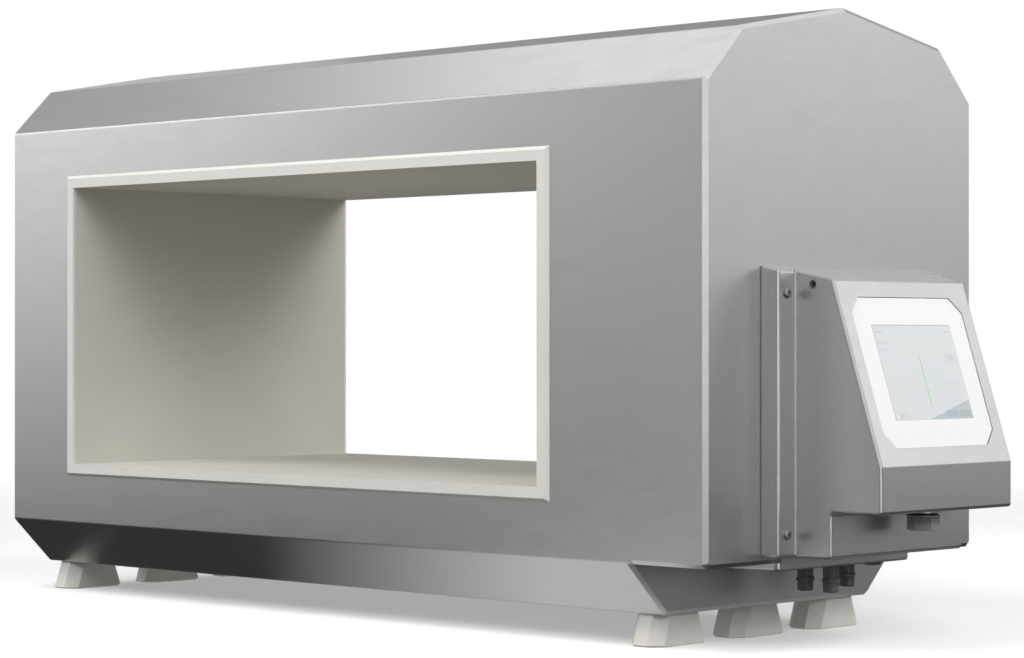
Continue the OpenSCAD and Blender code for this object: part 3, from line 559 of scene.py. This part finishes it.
def joined(name: str, pieces: Sequence[Piece]) -> Piece:
    """Joins several mesh objects into one, keeping their places.

    Args:
        name: Name of the joined piece.
        pieces: Objects to join, removed afterwards.

    Returns:
        The joined object.
    """
    work = bmesh.new()
    bpy.context.view_layer.update()
    for piece in pieces:
        copied = piece.data.copy()
        copied.transform(piece.matrix_world)
        work.from_mesh(copied)
        bpy.data.meshes.remove(copied)
        bpy.data.objects.remove(piece)
    return meshed(name, work)


@dataclass(frozen=True)
class Thread:
    """A single-start screw thread."""

    crest: float  # Radius over the crests
    depth: float  # Depth of the groove
    pitch: float = 0.0015  # Advance in one turn
    slope: float = 1.25  # How steeply the flanks fall, per half turn
    land: float = 0.12  # Share of the depth that the flats on the crests take from the flanks
    rings_per_turn: float = 8.0  # Rings of points in one turn

    def radius(self, height: float, angle: float) -> float:
        """Gives the thread's radius.

        Args:
            height: Height along the thread.
            angle: Angle round it in radians.

        Returns:
            Distance of its surface from the axis.
        """
        phase = (height / self.pitch - angle / (2.0 * math.pi)) % 1.0
        flank = abs(2.0 * phase - 1.0)
        return self.crest - self.depth * min(1.0, max(0.0, self.slope * flank - self.land))

    def rings(self, low: float, high: float, count: int) -> list[list[Point]]:
        """Gives rings of the threaded surface between two heights.

        Args:
            low: Height of the first ring.
            high: Height of the last ring.
            count: Points in a ring.

        Returns:
            Rings from low to high.
        """
        steps = max(2, round((high - low) / self.pitch * self.rings_per_turn))
        heights = [low + (high - low) * k / steps for k in range(steps + 1)]
        return [at(around(count, partial(self.radius, height)), height) for height in heights]


def dress(piece: Piece, finish: Finish) -> None:
    """Gives a piece one finish in place of any it has."""
    piece.data.materials.clear()
    piece.data.materials.append(finish.material())


def seat(piece: Piece, finish: Finish, body: Body, slot: Slot, *nodes: str) -> None:
    """Dresses a piece, fixes it to its body and hides the CAD nodes it stands for.

    Args:
        piece: The piece, already in place.
        finish: Its finish.
        body: Body that it rides on.
        slot: Slot of the record that its finish belongs to; not used.
        nodes: CAD nodes that it replaces.
    """
    dress(piece, finish)
    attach(piece, body.value)
    if nodes:
        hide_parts(*nodes)
    LOG.info("%s rides on %s", piece.name, body.value)


# Sub-assemblies


Worn = dict[str, Finish]


def wearing(*rows: tuple[Finish | str, ...]) -> Worn:
    """Makes a dataclass field of CAD nodes from rows, each a finish and the nodes that wear it."""
    return field(default_factory=lambda: {name: row[0] for row in rows for name in row[1:]})


@dataclass
class SubAssembly:
    """A part of the detector, with the CAD nodes that keep their shape and their finishes."""

    # CAD nodes by their name, each with its finish
    nodes: Worn = wearing()

    def build(self, frame: dict) -> None:
        """Builds the pieces that the CAD leaves plain, and dresses the nodes.

        Args:
            frame: The loaded frame.
        """
        self.make_pieces()
        for name, finish in self.nodes.items():
            dress(frame["nodes"][name], finish)
        LOG.info("%s: %d CAD nodes dressed", type(self).__name__, len(self.nodes))

    def make_pieces(self) -> None:
        """Builds the assembly's own pieces, none unless a class says so."""


@dataclass
class Casing(SubAssembly):
    """Folded stainless casing with its ground end plates."""

    nodes: Worn = wearing(
        (STEEL, "front_casing", "rear_casing", "keel_plate", "left_end_plate", "right_end_plate"),
        (STEEL, "keel_end_plate", "bay_floor"),
        (TURNED, "keel_bushes"),
    )


@dataclass
class Tunnel(SubAssembly):
    """Plastic tunnel with its rims, and the sealed coils round it."""

    nodes: Worn = wearing(
        (LINER, "tunnel_liner", "coil_former"),
        (RIM, "front_rim", "rear_rim"),
        (COPPER, "transmit_coil", "front_receive_coil", "rear_receive_coil"),
        (RESIN, "resin_collar"),
        (SHEET, "shield_plate"),
    )


@dataclass
class Electronics(SubAssembly):
    """Boards, power supply and lead in the bay behind the control unit."""

    nodes: Worn = wearing(
        (SHEET, "mounting_plate", "power_supply"),
        (TURNED, "plate_standoffs", "board_standoffs"),
        (BOARD, "main_board"),
        (GLAND, "data_cable"),
        (RUBBER, "cable_grommet"),
    )


@dataclass
class Feet(SubAssembly):
    """Six machined insulating feet with softened edges."""

    nodes: Worn = wearing(
        (FOOT, "foot_front_left", "foot_middle_left", "foot_rear_left"),
        (FOOT, "foot_front_right", "foot_middle_right", "foot_rear_right"),
        (TURNED, "foot_screws"),
    )
    edge: float = 0.0006  # Width of the softened edges
    weld: float = 0.00001  # Distance at which the mesh's points are taken as one
    crease: float = 28.0  # Least angle in degrees of an edge that is softened

    def build(self, frame: dict) -> None:
        """Dresses the feet and rounds their edges with modifiers, which leave the CAD meshes as they are.

        Args:
            frame: The loaded frame.
        """
        super().build(frame)
        for name, finish in self.nodes.items():
            if finish is FOOT:
                foot = frame["nodes"][name]
                foot.modifiers.new("weld", "WELD").merge_threshold = self.weld
                bevel = foot.modifiers.new("softened edges", "BEVEL")
                bevel.width = self.edge
                bevel.segments = 2
                bevel.limit_method = "ANGLE"
                bevel.angle_limit = math.radians(self.crease)


@dataclass
class CableEntries(SubAssembly):
    """Cable tray with three glands and a blanking plug."""

    nodes: Worn = wearing(
        (STEEL, "cable_tray"),
        (GLAND, "gland_spigots", "gland_rings", "blanking_plug"),
        (TURNED, "gland_lock_nuts"),
        (RUBBER, "gland_seal_1", "gland_seal_2", "gland_seal_3"),
    )
    flats: float = 0.016  # Width across the flats of a gland body
    chamfer: float = 0.0005  # Chamfer of its hexagon
    bore: float = 0.0035  # Radius of the cable bore
    tail: float = 0.006  # Length of the threaded tail below the hexagon
    crest: float = 0.0059  # Radius over the crests of the body's thread
    groove: float = 0.0007  # Depth of that thread
    mouth: float = 0.0043  # Radius of a dome nut's mouth
    lip: float = 0.0002  # Rounding of that mouth
    dome: float = 0.0016  # Radius of a dome nut's rounded end
    nut_bore: float = 0.0060  # Radius inside a dome nut
    nut_floor: float = 0.0014  # Thickness of a dome nut's floor
    ribs: int = 16  # Number of ribs round a dome nut
    flute: float = 0.00018  # Depth between the ribs
    run: float = 0.0004  # Height over which the ribs fade out
    collar: float = 0.0010  # Height of the plain collar above the ribs
    smooth: float = 32.0  # Largest angle in degrees that is shaded smooth

    def make_pieces(self) -> None:
        """Builds the threaded gland bodies and the ribbed dome nuts."""
        bodies = []
        for number, body in enumerate((Body.NUT_1, Body.NUT_2, Body.NUT_3), 1):
            low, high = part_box(f"gland_nut_{number}")
            spot = ((low[0] + high[0]) / 2.0, (low[1] + high[1]) / 2.0, 0.0)
            nut = self.dome_nut(f"gland_dome_nut_{number}", low[2], high[2], (high[0] - low[0]) / 2.0)
            bodies.append(self.gland_body())
            nut.location = bodies[-1].location = spot
            seat(nut, GLAND, body, Slot.BLACK_PLASTIC, f"gland_nut_{number}")
        joint = joined("gland_bodies_threaded", bodies)
        seat(joint, GLAND, Body.HEAD, Slot.BLACK_PLASTIC, "gland_bodies")

    def gland_body(self) -> Piece:
        """Builds one gland body round Z, with its cable bore.

        Returns:
            The new object.
        """
        count = 48
        low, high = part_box("gland_bodies")
        hexagon_low = low[2] + self.tail
        hexagon_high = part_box("gland_rings")[0][2]
        thread = Thread(self.crest, self.groove)
        narrow = hexagon(self.flats - 2.0 * self.chamfer, count)
        wide = hexagon(self.flats, count)
        rings = [
            *hoops(count, (self.bore, low[2])),
            *thread.rings(low[2], hexagon_low, count),
            at(narrow, hexagon_low),
            at(wide, hexagon_low + self.chamfer),
            at(wide, hexagon_high - self.chamfer),
            at(narrow, hexagon_high),
            *thread.rings(hexagon_high, high[2], count),
            *hoops(count, (self.bore, high[2])),
        ]
        return skin("gland_body", rings, self.smooth, hollow=True)

    def dome_nut(self, name: str, low: float, high: float, radius: float) -> Piece:
        """Builds one dome nut round Z: ribbed barrel, rounded mouth and inner bore.

        Args:
            name: Name of the piece.
            low: Height of its mouth.
            high: Height of its upper end.
            radius: Outer radius.

        Returns:
            The new object.
        """
        count, steps = self.ribs * 6, 5
        lip, dome, run = self.lip, self.dome, self.run
        floor = low + self.nut_floor
        rings = hoops(count, (self.mouth, floor), (self.mouth, low + lip), (self.mouth + lip, low))
        for k in range(steps + 1):
            angle = math.pi / 2.0 * k / steps
            reach = radius - dome * (1.0 - math.sin(angle)) - lip
            rings += hoops(count, (reach, low + dome * (1.0 - math.cos(angle))))
        rib_low, rib_high = low + dome + lip, high - self.collar
        for height, share in ((rib_low, 0.0), (rib_low + run, 1.0), (rib_high - run, 1.0), (rib_high, 0.0)):
            rings.append(at(around(count, partial(self.barrel, radius, self.flute * share)), height))
        rings += hoops(count, (radius - lip, high), (self.nut_bore, high), (self.nut_bore, floor))
        return skin(name, rings, self.smooth, hollow=True)

    def barrel(self, radius: float, depth: float, angle: float) -> float:
        """Gives the reach of a nut's ribbed barrel at an angle, its flutes cut to a depth."""
        return radius - depth * (0.5 - 0.5 * math.cos(angle * self.ribs))


@dataclass
class ControlUnit(SubAssembly):
    """Folded cover of the control unit with its screws and inserts."""

    nodes: Worn = wearing(
        (STEEL, "control_cover"),
        (TURNED, "cover_rails"),
        (GASKET, "cover_gasket"),
        (INSERT, "side_inserts"),
    )
    head: float = 0.00475  # Radius of a button head
    rise: float = 0.00275  # Height of a button head
    edge: float = 0.0003  # Chamfer of a button head and of its key recess
    key: float = 0.003  # Width across the flats of the key recess
    key_depth: float = 0.0016  # Depth of the key recess
    shank: float = 0.0024  # Radius of the screw
    hood_w: float = 0.196  # Width of the hood
    bead: float = 0.0011  # Radius of the weld bead in the corner between hood and flange
    ripple: float = 0.0016  # Spacing of the ripples in the bead
    margin: float = 0.003  # Distance from the cover's ends to the bead's ends

    def make_pieces(self) -> None:
        """Builds the button-head screws with their key recesses, and the weld beads."""
        self.make_screws()
        self.make_beads()

    def make_beads(self) -> None:
        """Lays a rippled weld bead down each corner between the hood and the flanges."""
        count = 12
        steps_per_ripple = 6
        swell, wander = 0.06, 0.37
        low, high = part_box("control_cover")
        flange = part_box("cover_screws")[1][0] - self.rise
        start, length = low[2] + self.margin, high[2] - low[2] - 2.0 * self.margin
        steps = round(length / self.ripple * steps_per_ripple)
        beads = []
        for side in (-1.0, 1.0):
            rings = []
            for k in range(steps + 1):
                wave = math.sin(2.0 * math.pi * k / steps_per_ripple) + 0.5 * math.sin(wander * k)
                rings += hoops(count, (self.bead * (1.0 + swell * wave), start + length * k / steps))
            piece = skin("weld_bead", rings, smooth_angle=80.0)
            piece.location = (flange, side * self.hood_w / 2.0, 0.0)
            beads.append(piece)
        # The beads' lighter tone is a painted highlight down the corners, on top of their real shape
        seat(joined("hood_weld_beads", beads), BEAD_PAINTED_HIGHLIGHT, Body.HEAD, Slot.BLASTED_STEEL)

    def make_screws(self) -> None:
        """Builds the four screws, their heads on the flanges."""
        low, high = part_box("cover_screws")
        flange = high[0] - self.rise
        turn = Matrix.Rotation(math.pi / 2.0, 4, "Y")
        screws = []
        for across in (low[1] + self.head, high[1] - self.head):
            for height in (low[2] + self.head, high[2] - self.head):
                screw = self.button_screw(flange - low[0])
                screw.matrix_world = Matrix.Translation((flange, across, height)) @ turn
                screws.append(screw)
        made = joined("cover_button_screws", screws)
        seat(made, BUTTON, Body.HEAD, Slot.BRIGHT_STEEL, "cover_screws")

    def button_screw(self, length: float) -> Piece:
        """Builds one screw along Z, its head's seat at Z = 0.

        Args:
            length: Length of the screw under its head.

        Returns:
            The new object.
        """
        count, steps = 48, 8
        point, fullness = 0.6, 0.8
        edge, crown = self.edge, self.key * 0.75
        thread = Thread(self.shank, depth=0.0004, pitch=0.0008)
        rings = [
            *hoops(count, (self.shank * point, -length)),
            *thread.rings(edge - length, -edge, count),
            *hoops(count, (self.shank, 0.0), (self.head - edge, 0.0)),
        ]
        for k in range(steps + 1):
            angle = math.pi / 2.0 * k / steps
            radius = crown + (self.head - crown) * math.cos(angle) ** fullness
            rings += hoops(count, (radius, edge + (self.rise - edge) * math.sin(angle)))
        rings.append(at(hexagon(self.key + edge, count), self.rise))
        for depth in (edge, self.key_depth):
            rings.append(at(hexagon(self.key, count), self.rise - depth))
        return skin("cover_screw", rings)


@dataclass
class Screen(SubAssembly):
    """White bezel and display on the sloping face, with the picture that the display shows.

    The picture is laid out in shares of the display window: across from its left edge and down
    from its top edge, as seen from in front.
    """

    nodes: Worn = wearing(
        (BEZEL, "screen_bezel"),
        (DISPLAY, "screen_window"),
        (RUBBER, "screen_gasket"),
        (SHEET, "screen_frame"),
        (TURNED, "frame_studs"),
        (GLAND, "display_module"),
        (BOARD, "display_board"),
    )
    centre: Point = (0.53875, 0.0, 0.2505)  # Middle of the sloping face
    tilt: float = math.atan(53.5 / 164.0)  # Angle of the face from upright, in radians
    window: Flat = (0.1165, 0.089)  # Width and height of the display window
    face: float = 0.0012  # Depth of the display's face below the hood's face
    bezel_face: float = 0.001  # Depth of the bezel's face below the hood's face
    lift: float = 0.000025  # Thickness of what is drawn on the display
    rim: Flat = (0.006, 0.0078)  # Width of a tile's frame, in shares of the window
    crease: float = 0.00035  # Width of a crease in the bezel's foil

    def place(self) -> Matrix:
        """Works out the face's own axes: X across to the right, Y up the slope, Z out.

        Returns:
            Matrix from those axes to the frame's.
        """
        across = Vector((0.0, 1.0, 0.0))
        out = Vector((math.cos(self.tilt), 0.0, math.sin(self.tilt)))
        turn = Matrix((across, out.cross(across), out)).transposed().to_4x4()
        return Matrix.Translation(self.centre) @ turn

    def spot(self, across: float, down: float) -> Flat:
        """Gives the face coordinates of a place in the window's shares."""
        width, height = self.window
        return (across - 0.5) * width, (0.5 - down) * height

    def mark(self, name: str, corners: Outline, finish: Finish, depth: float, layer: int = 1) -> None:
        """Draws one shape on the display or bezel.

        Args:
            name: Name of the piece.
            corners: Its corners in face coordinates, anticlockwise.
            finish: Its finish.
            depth: Depth below the hood's face of what it is drawn on.
            layer: Height in steps of the drawing's thickness.
        """
        piece = skin(name, [at(corners, -depth - self.lift), at(corners, -depth + self.lift * layer)])
        piece.matrix_world = self.place()
        slot = Slot.WHITE_BEZEL if depth == self.bezel_face else Slot.DISPLAY_WINDOW
        seat(piece, finish, Body.HEAD, slot)

    def panels(self, *rows: tuple[str, float, float, float, float, Finish, int]) -> None:
        """Draws rectangles on the display.

        Args:
            rows: For each the name, the left, top, right and bottom in the window's shares, the
                finish and the height in steps of the drawing's thickness.
        """
        for name, x1, y1, x2, y2, finish, layer in rows:
            (left, top), (right, bottom) = self.spot(x1, y1), self.spot(x2, y2)
            corners = [(left, bottom), (right, bottom), (right, top), (left, top)]
            self.mark(name, corners, finish, self.face, layer)

    def make_pieces(self) -> None:
        """Draws the display's picture and the painted shade of the creases beside it."""
        self.draw_graph()
        self.draw_tiles()
        self.draw_creases()

    def draw_graph(self) -> None:
        """Draws the graph: faint lines across, its axis, the sloping band and the green line."""
        for k in range(12):
            down = 0.42 + 0.04 * k
            self.panels((f"graph_line_{k + 1}", 0.03, down, 0.97, down + 0.006, FAINT, 1))
        self.panels(
            ("graph_axis", 0.02, 0.597, 0.98, 0.607, TILE, 2),
            # Painted shade: dark strips along the window's top and left edges, standing for the shade that
            # those edges cast on the display
            ("window_painted_shade_top", 0.0, 0.0, 1.0, 0.008, SLATE_AND_PAINTED_SHADE, 7),
            ("window_painted_shade_left", 0.0, 0.0, 0.008, 1.0, SLATE_AND_PAINTED_SHADE, 7),
        )
        corners = [self.spot(*share) for share in ((0.436, 0.998), (0.998, 0.998), (0.998, 0.80))]
        self.mark("graph_band", corners, SLATE_AND_PAINTED_SHADE, self.face, 3)
        self.panels(("green_line", 0.500, 0.315, 0.510, 0.87, GREEN, 4))

    def draw_tiles(self) -> None:
        """Draws the framed tiles with plain marks, and plain bars where a display has lines of text."""
        rim_x, rim_y = self.rim
        tiles = (
            ("tile_low_1", 0.674, 0.905, 0.824, 0.985, SLATE_TILE, SLATE_AND_PAINTED_SHADE),
            ("tile_low_2", 0.840, 0.905, 0.990, 0.985, SLATE_TILE, SLATE_AND_PAINTED_SHADE),
            ("tile_side", 0.830, 0.300, 0.990, 0.410, TILE, FAINT),
            ("tile_corner", 0.005, 0.905, 0.190, 0.992, TILE, FAINT),
        )
        for name, left, top, right, bottom, finish, frame in tiles:
            edge = (f"{name}_edge", left, top, right, bottom, frame, 4)
            inner = (left + rim_x, top + rim_y, right - rim_x, bottom - rim_y)
            self.panels(edge, (f"{name}_face", *inner, finish, 5))
        self.panels(
            ("tile_low_1_mark", 0.73, 0.935, 0.77, 0.957, MARK, 6),
            ("tile_low_2_mark", 0.885, 0.935, 0.945, 0.957, MARK, 6),
            ("tile_side_mark", 0.875, 0.340, 0.945, 0.370, TILE_EDGE, 6),
            ("tile_corner_mark_1", 0.030, 0.940, 0.060, 0.972, YELLOW, 6),
            ("tile_corner_mark_2", 0.075, 0.940, 0.105, 0.972, BLUE, 6),
            ("line_bar_1", 0.02, 0.068, 0.12, 0.084, TILE_EDGE, 1),
            ("line_bar_2", 0.90, 0.068, 0.985, 0.084, TILE_EDGE, 1),
            ("line_bar_3", 0.02, 0.183, 0.16, 0.197, TILE_EDGE, 1),
            ("line_bar_4", 0.02, 0.253, 0.13, 0.267, TILE_EDGE, 1),
        )

    def draw_creases(self) -> None:
        """Draws the fine creases in the bezel's foil beside the display, as strips of painted shade."""
        near, far = self.window[0] / 2.0 + 0.0065, self.window[0] / 2.0 + 0.0175
        creases = (
            (-far, 0.028, -near, 0.0285),
            (-far, 0.022, -near, 0.0225),
            (near, 0.012, far, 0.014),
            (near, -0.014, far, -0.012),
        )
        for number, (x1, y1, x2, y2) in enumerate(creases, 1):
            corners = [(x1, y1 - self.crease), (x2, y2 - self.crease), (x2, y2), (x1, y1)]
            self.mark(f"bezel_crease_painted_shade_{number}", corners, CREASE_PAINTED_SHADE, self.bezel_face)


@dataclass
class ServicePort(SubAssembly):
    """Screwed service port under the chin."""

    nodes: Worn = wearing(
        (TURNED, "port_socket", "port_lock_nut"),
        (GLAND, "port_connector"),
        (RUBBER, "port_seal"),
    )
    rim_h: float = 0.002  # Thickness of the cap's flange
    flats: float = 0.025  # Width across the flats of the hexagon
    chamfer: float = 0.0016  # How far the chamfer cuts the hexagon's corners back
    edge: float = 0.0004  # Chamfer of the flange's edges
    crest: float = 0.00794  # Radius over the spigot's thread
    groove: float = 0.0009  # Depth of that thread
    turn: float = 36.3  # Angle that the hexagon is turned by, in degrees

    def make_pieces(self) -> None:
        """Builds the dark cap: chamfered hexagon, flange and threaded spigot."""
        count, steps = 72, 6
        edge = self.edge
        low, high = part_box("port_cap")
        seat_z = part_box("port_seal")[0][2]
        flange_low = seat_z - self.rim_h
        rim = (high[0] - low[0]) / 2.0
        corner = self.flats / 2.0 / math.cos(math.pi / 6.0)
        rings = hoops(count, (corner - 2.0 * self.chamfer, low[2]))
        for k in range(steps + 1):
            reach = corner - self.chamfer * (1.0 - k / steps)
            cut = [self.cut(point, reach) for point in hexagon(self.flats, count)]
            rings.append(at(cut, low[2] + self.chamfer / 2.0 * k / steps))
        rings += [
            at(hexagon(self.flats, count), flange_low - edge),
            at(hexagon(self.flats + edge, count), flange_low),
            *hoops(count, (rim - edge, flange_low), (rim, flange_low + edge)),
            *hoops(count, (rim, seat_z - edge), (rim - edge, seat_z)),
            *Thread(self.crest, self.groove).rings(seat_z, high[2] - 2.0 * edge, count),
            *hoops(count, (self.crest - 3.0 * edge, high[2])),
        ]
        cap = skin("port_screw_cap", rings)
        cap.rotation_euler = (0.0, 0.0, math.radians(self.turn))
        cap.location = ((low[0] + high[0]) / 2.0, (low[1] + high[1]) / 2.0, 0.0)
        seat(cap, DARK, Body.CAP, Slot.DARK_METAL, "port_cap")

    @staticmethod
    def cut(point: Flat, reach: float) -> Flat:
        """Pulls a point in to a largest distance from the axis, for the chamfer on the corners."""
        scale = min(1.0, reach / math.hypot(*point))
        return point[0] * scale, point[1] * scale


# Studio


@dataclass
class Studio:
    """Pale floor, white surroundings, tent of cards for the steel, soft lamps and the camera."""

    camera_place: Point = (2.0809, -2.1005, 0.2819)
    camera_turn: Point = (90.15, 0.0, 44.43)  # Euler angles in degrees
    lens: float = 101.17  # Focal length in millimetres
    reach: float = 50.0  # Greatest distance that the camera sees
    ambient: float = 0.16  # Strength of the surroundings on matt surfaces
    floor_size: float = 6.0  # Radius of the floor
    floor_fade: Flat = (0.9, 3.0)  # Radii between which the floor fades out
    floor_tone: float = 0.90
    floor_glow: float = 0.28  # Light that it gives off, to keep its shadow pale
    tent_low: Flat = (-7.0, -3.2)  # Least X and Y of the tent of cards
    tent_high: Point = (3.6, 6.0, 3.2)  # Greatest X, Y and Z of the tent

    def build(self) -> None:
        """Sets up the view settings, world, floor, cards, lamps and camera."""
        bpy.context.scene.view_settings.view_transform = "Standard"
        self.make_world()
        self.make_floor()
        self.hang_walls()
        self.lay_cards()
        self.hang_lamps()
        self.make_camera()

    def make_world(self) -> None:
        """Makes surroundings that the camera and reflections see as white."""
        world = bpy.data.worlds.new("studio")
        bpy.context.scene.world = world
        tree = Tree(world)
        path = tree.node("LightPath").outputs
        clear = tree.larger(path["Is Glossy Ray"], path["Is Transmission Ray"])
        seen = tree.larger(path["Is Camera Ray"], clear)
        soft = tree.node("Background", Color=WHITE, Strength=self.ambient)
        white = tree.node("Background", Color=WHITE)
        mix = tree.node("MixShader", seen, soft.outputs[0], white.outputs[0])
        tree.node("OutputWorld", mix.outputs[0])

    def make_floor(self) -> None:
        """Makes a round pale floor that fades out, is clear from below and lights nothing."""
        work = bmesh.new()
        bmesh.ops.create_circle(work, cap_ends=True, segments=96, radius=self.floor_size)
        floor = meshed("floor", work)
        material = bpy.data.materials.new("pale floor")
        tree = Tree(material)
        distance = tree.node("VectorMath", tree.node("TexCoord").outputs["Object"])
        distance.operation = "LENGTH"
        start, end = self.floor_fade
        fade = tree.node("MapRange", distance.outputs["Value"], From_Min=start, From_Max=end)
        fade.interpolation_type = "SMOOTHSTEP"
        tone = (self.floor_tone, self.floor_tone, self.floor_tone, 1.0)
        glow = {"Emission_Color": WHITE, "Emission_Strength": self.floor_glow}
        paint = tree.node("BsdfPrincipled", Base_Color=tone, Roughness=1.0, Specular_IOR_Level=0.0, **glow)
        clear = tree.node("BsdfTransparent")
        gone = tree.larger(fade.outputs["Result"], tree.node("NewGeometry").outputs["Backfacing"])
        mix = tree.node("MixShader", gone, paint.outputs[0], clear.outputs[0])
        tree.node("OutputMaterial", mix.outputs[0])
        floor.data.materials.append(material)
        floor.visible_diffuse = False
        floor.visible_glossy = False

    def hang_walls(self) -> None:
        """Hangs the tent's walls: bright far left, dim beside the camera, dark low down."""
        (x_low, y_low), (x_high, y_high, top) = self.tent_low, self.tent_high
        walls = (
            ("front_1", x_low, -5.2, y_low, y_low, 0.38, 1.0),
            ("front_2", -5.2, -3.6, y_low, y_low, 0.30, 5.4),
            ("front_3", -3.6, -2.2, y_low, y_low, 0.05, 1.31),
            ("front_4", -2.2, 0.4, y_low, y_low, 0.58, 0.03),
            ("front_5", 0.4, x_high, y_low, y_low, 0.03, 0.43),
            ("right_1", x_high, x_high, y_low, 0.0, 2.38, 0.13),
            ("right_2", x_high, x_high, 0.0, 1.6, 0.03, 0.38),
            ("right_3", x_high, x_high, 1.6, y_high, 0.45, 1.93),
            ("left", x_low, x_low, y_low, y_high, 0.95, 0.95),
            ("back_1", x_low, -2.0, y_high, y_high, 0.20, 0.35),
            ("back_2", -2.0, x_high, y_high, y_high, 0.40, 0.95),
        )
        for name, x1, x2, y1, y2, low, high in walls:
            self.card(name, (x1, y1, 0.0), (x2 - x1, y2 - y1, 0.0), (0.0, 0.0, top), low, high)

    def lay_cards(self) -> None:
        """Lays the tent's ceiling and ground, with strips close to the keel from dark to bright to dark."""
        (x_low, y_low), (x_high, y_high, top) = self.tent_low, self.tent_high
        split, deep, near, far = 1.5, 4.0, -0.70, -0.13
        cards = (
            ("top_near_1", x_low, -2.7, y_low, split, top, 0.41),
            ("top_near_2", -2.7, -1.2, y_low, split, top, 1.35),
            ("top_near_3", -1.2, 0.7, y_low, split, top, 0.02),
            ("top_near_4", 0.7, x_high, y_low, split, top, 1.15),
            ("top_middle_1", x_low, -0.7, split, deep, top, 0.32),
            ("top_middle_2", -0.7, 1.7, split, deep, top, 1.1),
            ("top_middle_3", 1.7, x_high, split, deep, top, 0.50),
            ("top_far_1", x_low, x_high, deep, y_high, top, 0.20),
            ("ground", x_low, x_high, y_low, y_high, 0.001, 0.25),
            ("strip_1", -1.2, -0.22, near, far, 0.002, 0.03),
            ("strip_2", -0.22, 0.19, near, far, 0.002, 0.03, 0.64),
            ("strip_3", 0.19, 0.37, near, far, 0.002, 0.64),
            ("patch", 0.37, 1.27, near, 1.30, 0.002, 0.03),
            ("edge", 0.49, 0.59, -0.25, 0.55, 0.003, 0.18),
        )
        for name, left, right, front, back, height, low, *high in cards:
            across, along = (0.0, front - back, 0.0), (right - left, 0.0, 0.0)
            self.card(name, (left, back, height), across, along, low, *(high or [low]))

    def card(self, name: str, corner: Point, across: Point, along: Point, low: float, high: float) -> None:
        """Hangs a card that only reflections see, its brightness running from one side to the other.

        Args:
            name: Name of the card, without the word that all start with.
            corner: Corner where its two sides meet.
            across: Side along which the brightness stays the same.
            along: Side along which the brightness changes.
            low: Brightness at the corner.
            high: Brightness at the far end of the changing side.
        """
        name = f"card_{name}"
        mesh = bpy.data.meshes.new(name)
        mesh.from_pydata([(0, 0, 0), (1, 0, 0), (1, 1, 0), (0, 1, 0)], [], [(0, 1, 2, 3)])
        made = shown(name, mesh)
        sides = Vector(across), Vector(along)
        place = Matrix((*sides, sides[0].cross(sides[1]).normalized())).transposed().to_4x4()
        place.translation = corner
        made.matrix_world = place
        made.visible_camera = made.visible_diffuse = False
        made.visible_transmission = made.visible_shadow = False
        material = bpy.data.materials.new(name)
        tree = Tree(material)
        parts = tree.node("SeparateXYZ", tree.node("TexCoord").outputs["Object"])
        tone = tree.node("MapRange", parts.outputs["Y"], To_Min=low, To_Max=high)
        glow = tree.node("Emission", Strength=tone.outputs[0])
        tree.node("OutputMaterial", glow.outputs[0])
        mesh.materials.append(material)

    def hang_lamps(self) -> None:
        """Hangs the soft square lamps, which light the matt surfaces."""
        middle = (0.0, 0.0, 0.25)
        lamps = (
            ("lamp_front", (0.2, -3.0, 2.6), middle, 2.2, 35.0),
            ("lamp_left", (-2.4, -3.0, 2.2), middle, 2.0, 38.0),
            ("lamp_right", (3.2, -1.2, 2.0), (0.4, 0.0, 0.25), 1.8, 56.0),
            ("lamp_rear", (3.2, 1.3, 2.0), middle, 1.8, 78.0),
            ("lamp_top", (-0.2, -2.0, 3.4), (0.0, 0.0, 0.3), 1.4, 55.0),
        )
        for name, place, target, side, watts in lamps:
            data = bpy.data.lights.new(name, "AREA")
            data.size = side
            data.energy = watts
            made = shown(name, data)
            made.location = place
            made.rotation_euler = (Vector(target) - Vector(place)).to_track_quat("-Z", "Y").to_euler()
            made.visible_glossy = False

    def make_camera(self) -> None:
        """Sets the camera where the photograph was taken from."""
        data = bpy.data.cameras.new("camera")
        data.lens = self.lens
        data.clip_end = self.reach
        camera = shown("camera", data)
        camera.location = self.camera_place
        camera.rotation_euler = [math.radians(angle) for angle in self.camera_turn]
        bpy.context.scene.camera = camera


def main() -> None:
    """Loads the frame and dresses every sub-assembly in turn."""
    logging.basicConfig(level=logging.INFO, format="%(name)s: %(message)s")
    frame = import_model()
    for part in (Casing, Tunnel, Electronics, Feet, CableEntries, ControlUnit, Screen, ServicePort):
        part().build(frame)
    Studio().build()


if __name__ == "__main__":
    main()
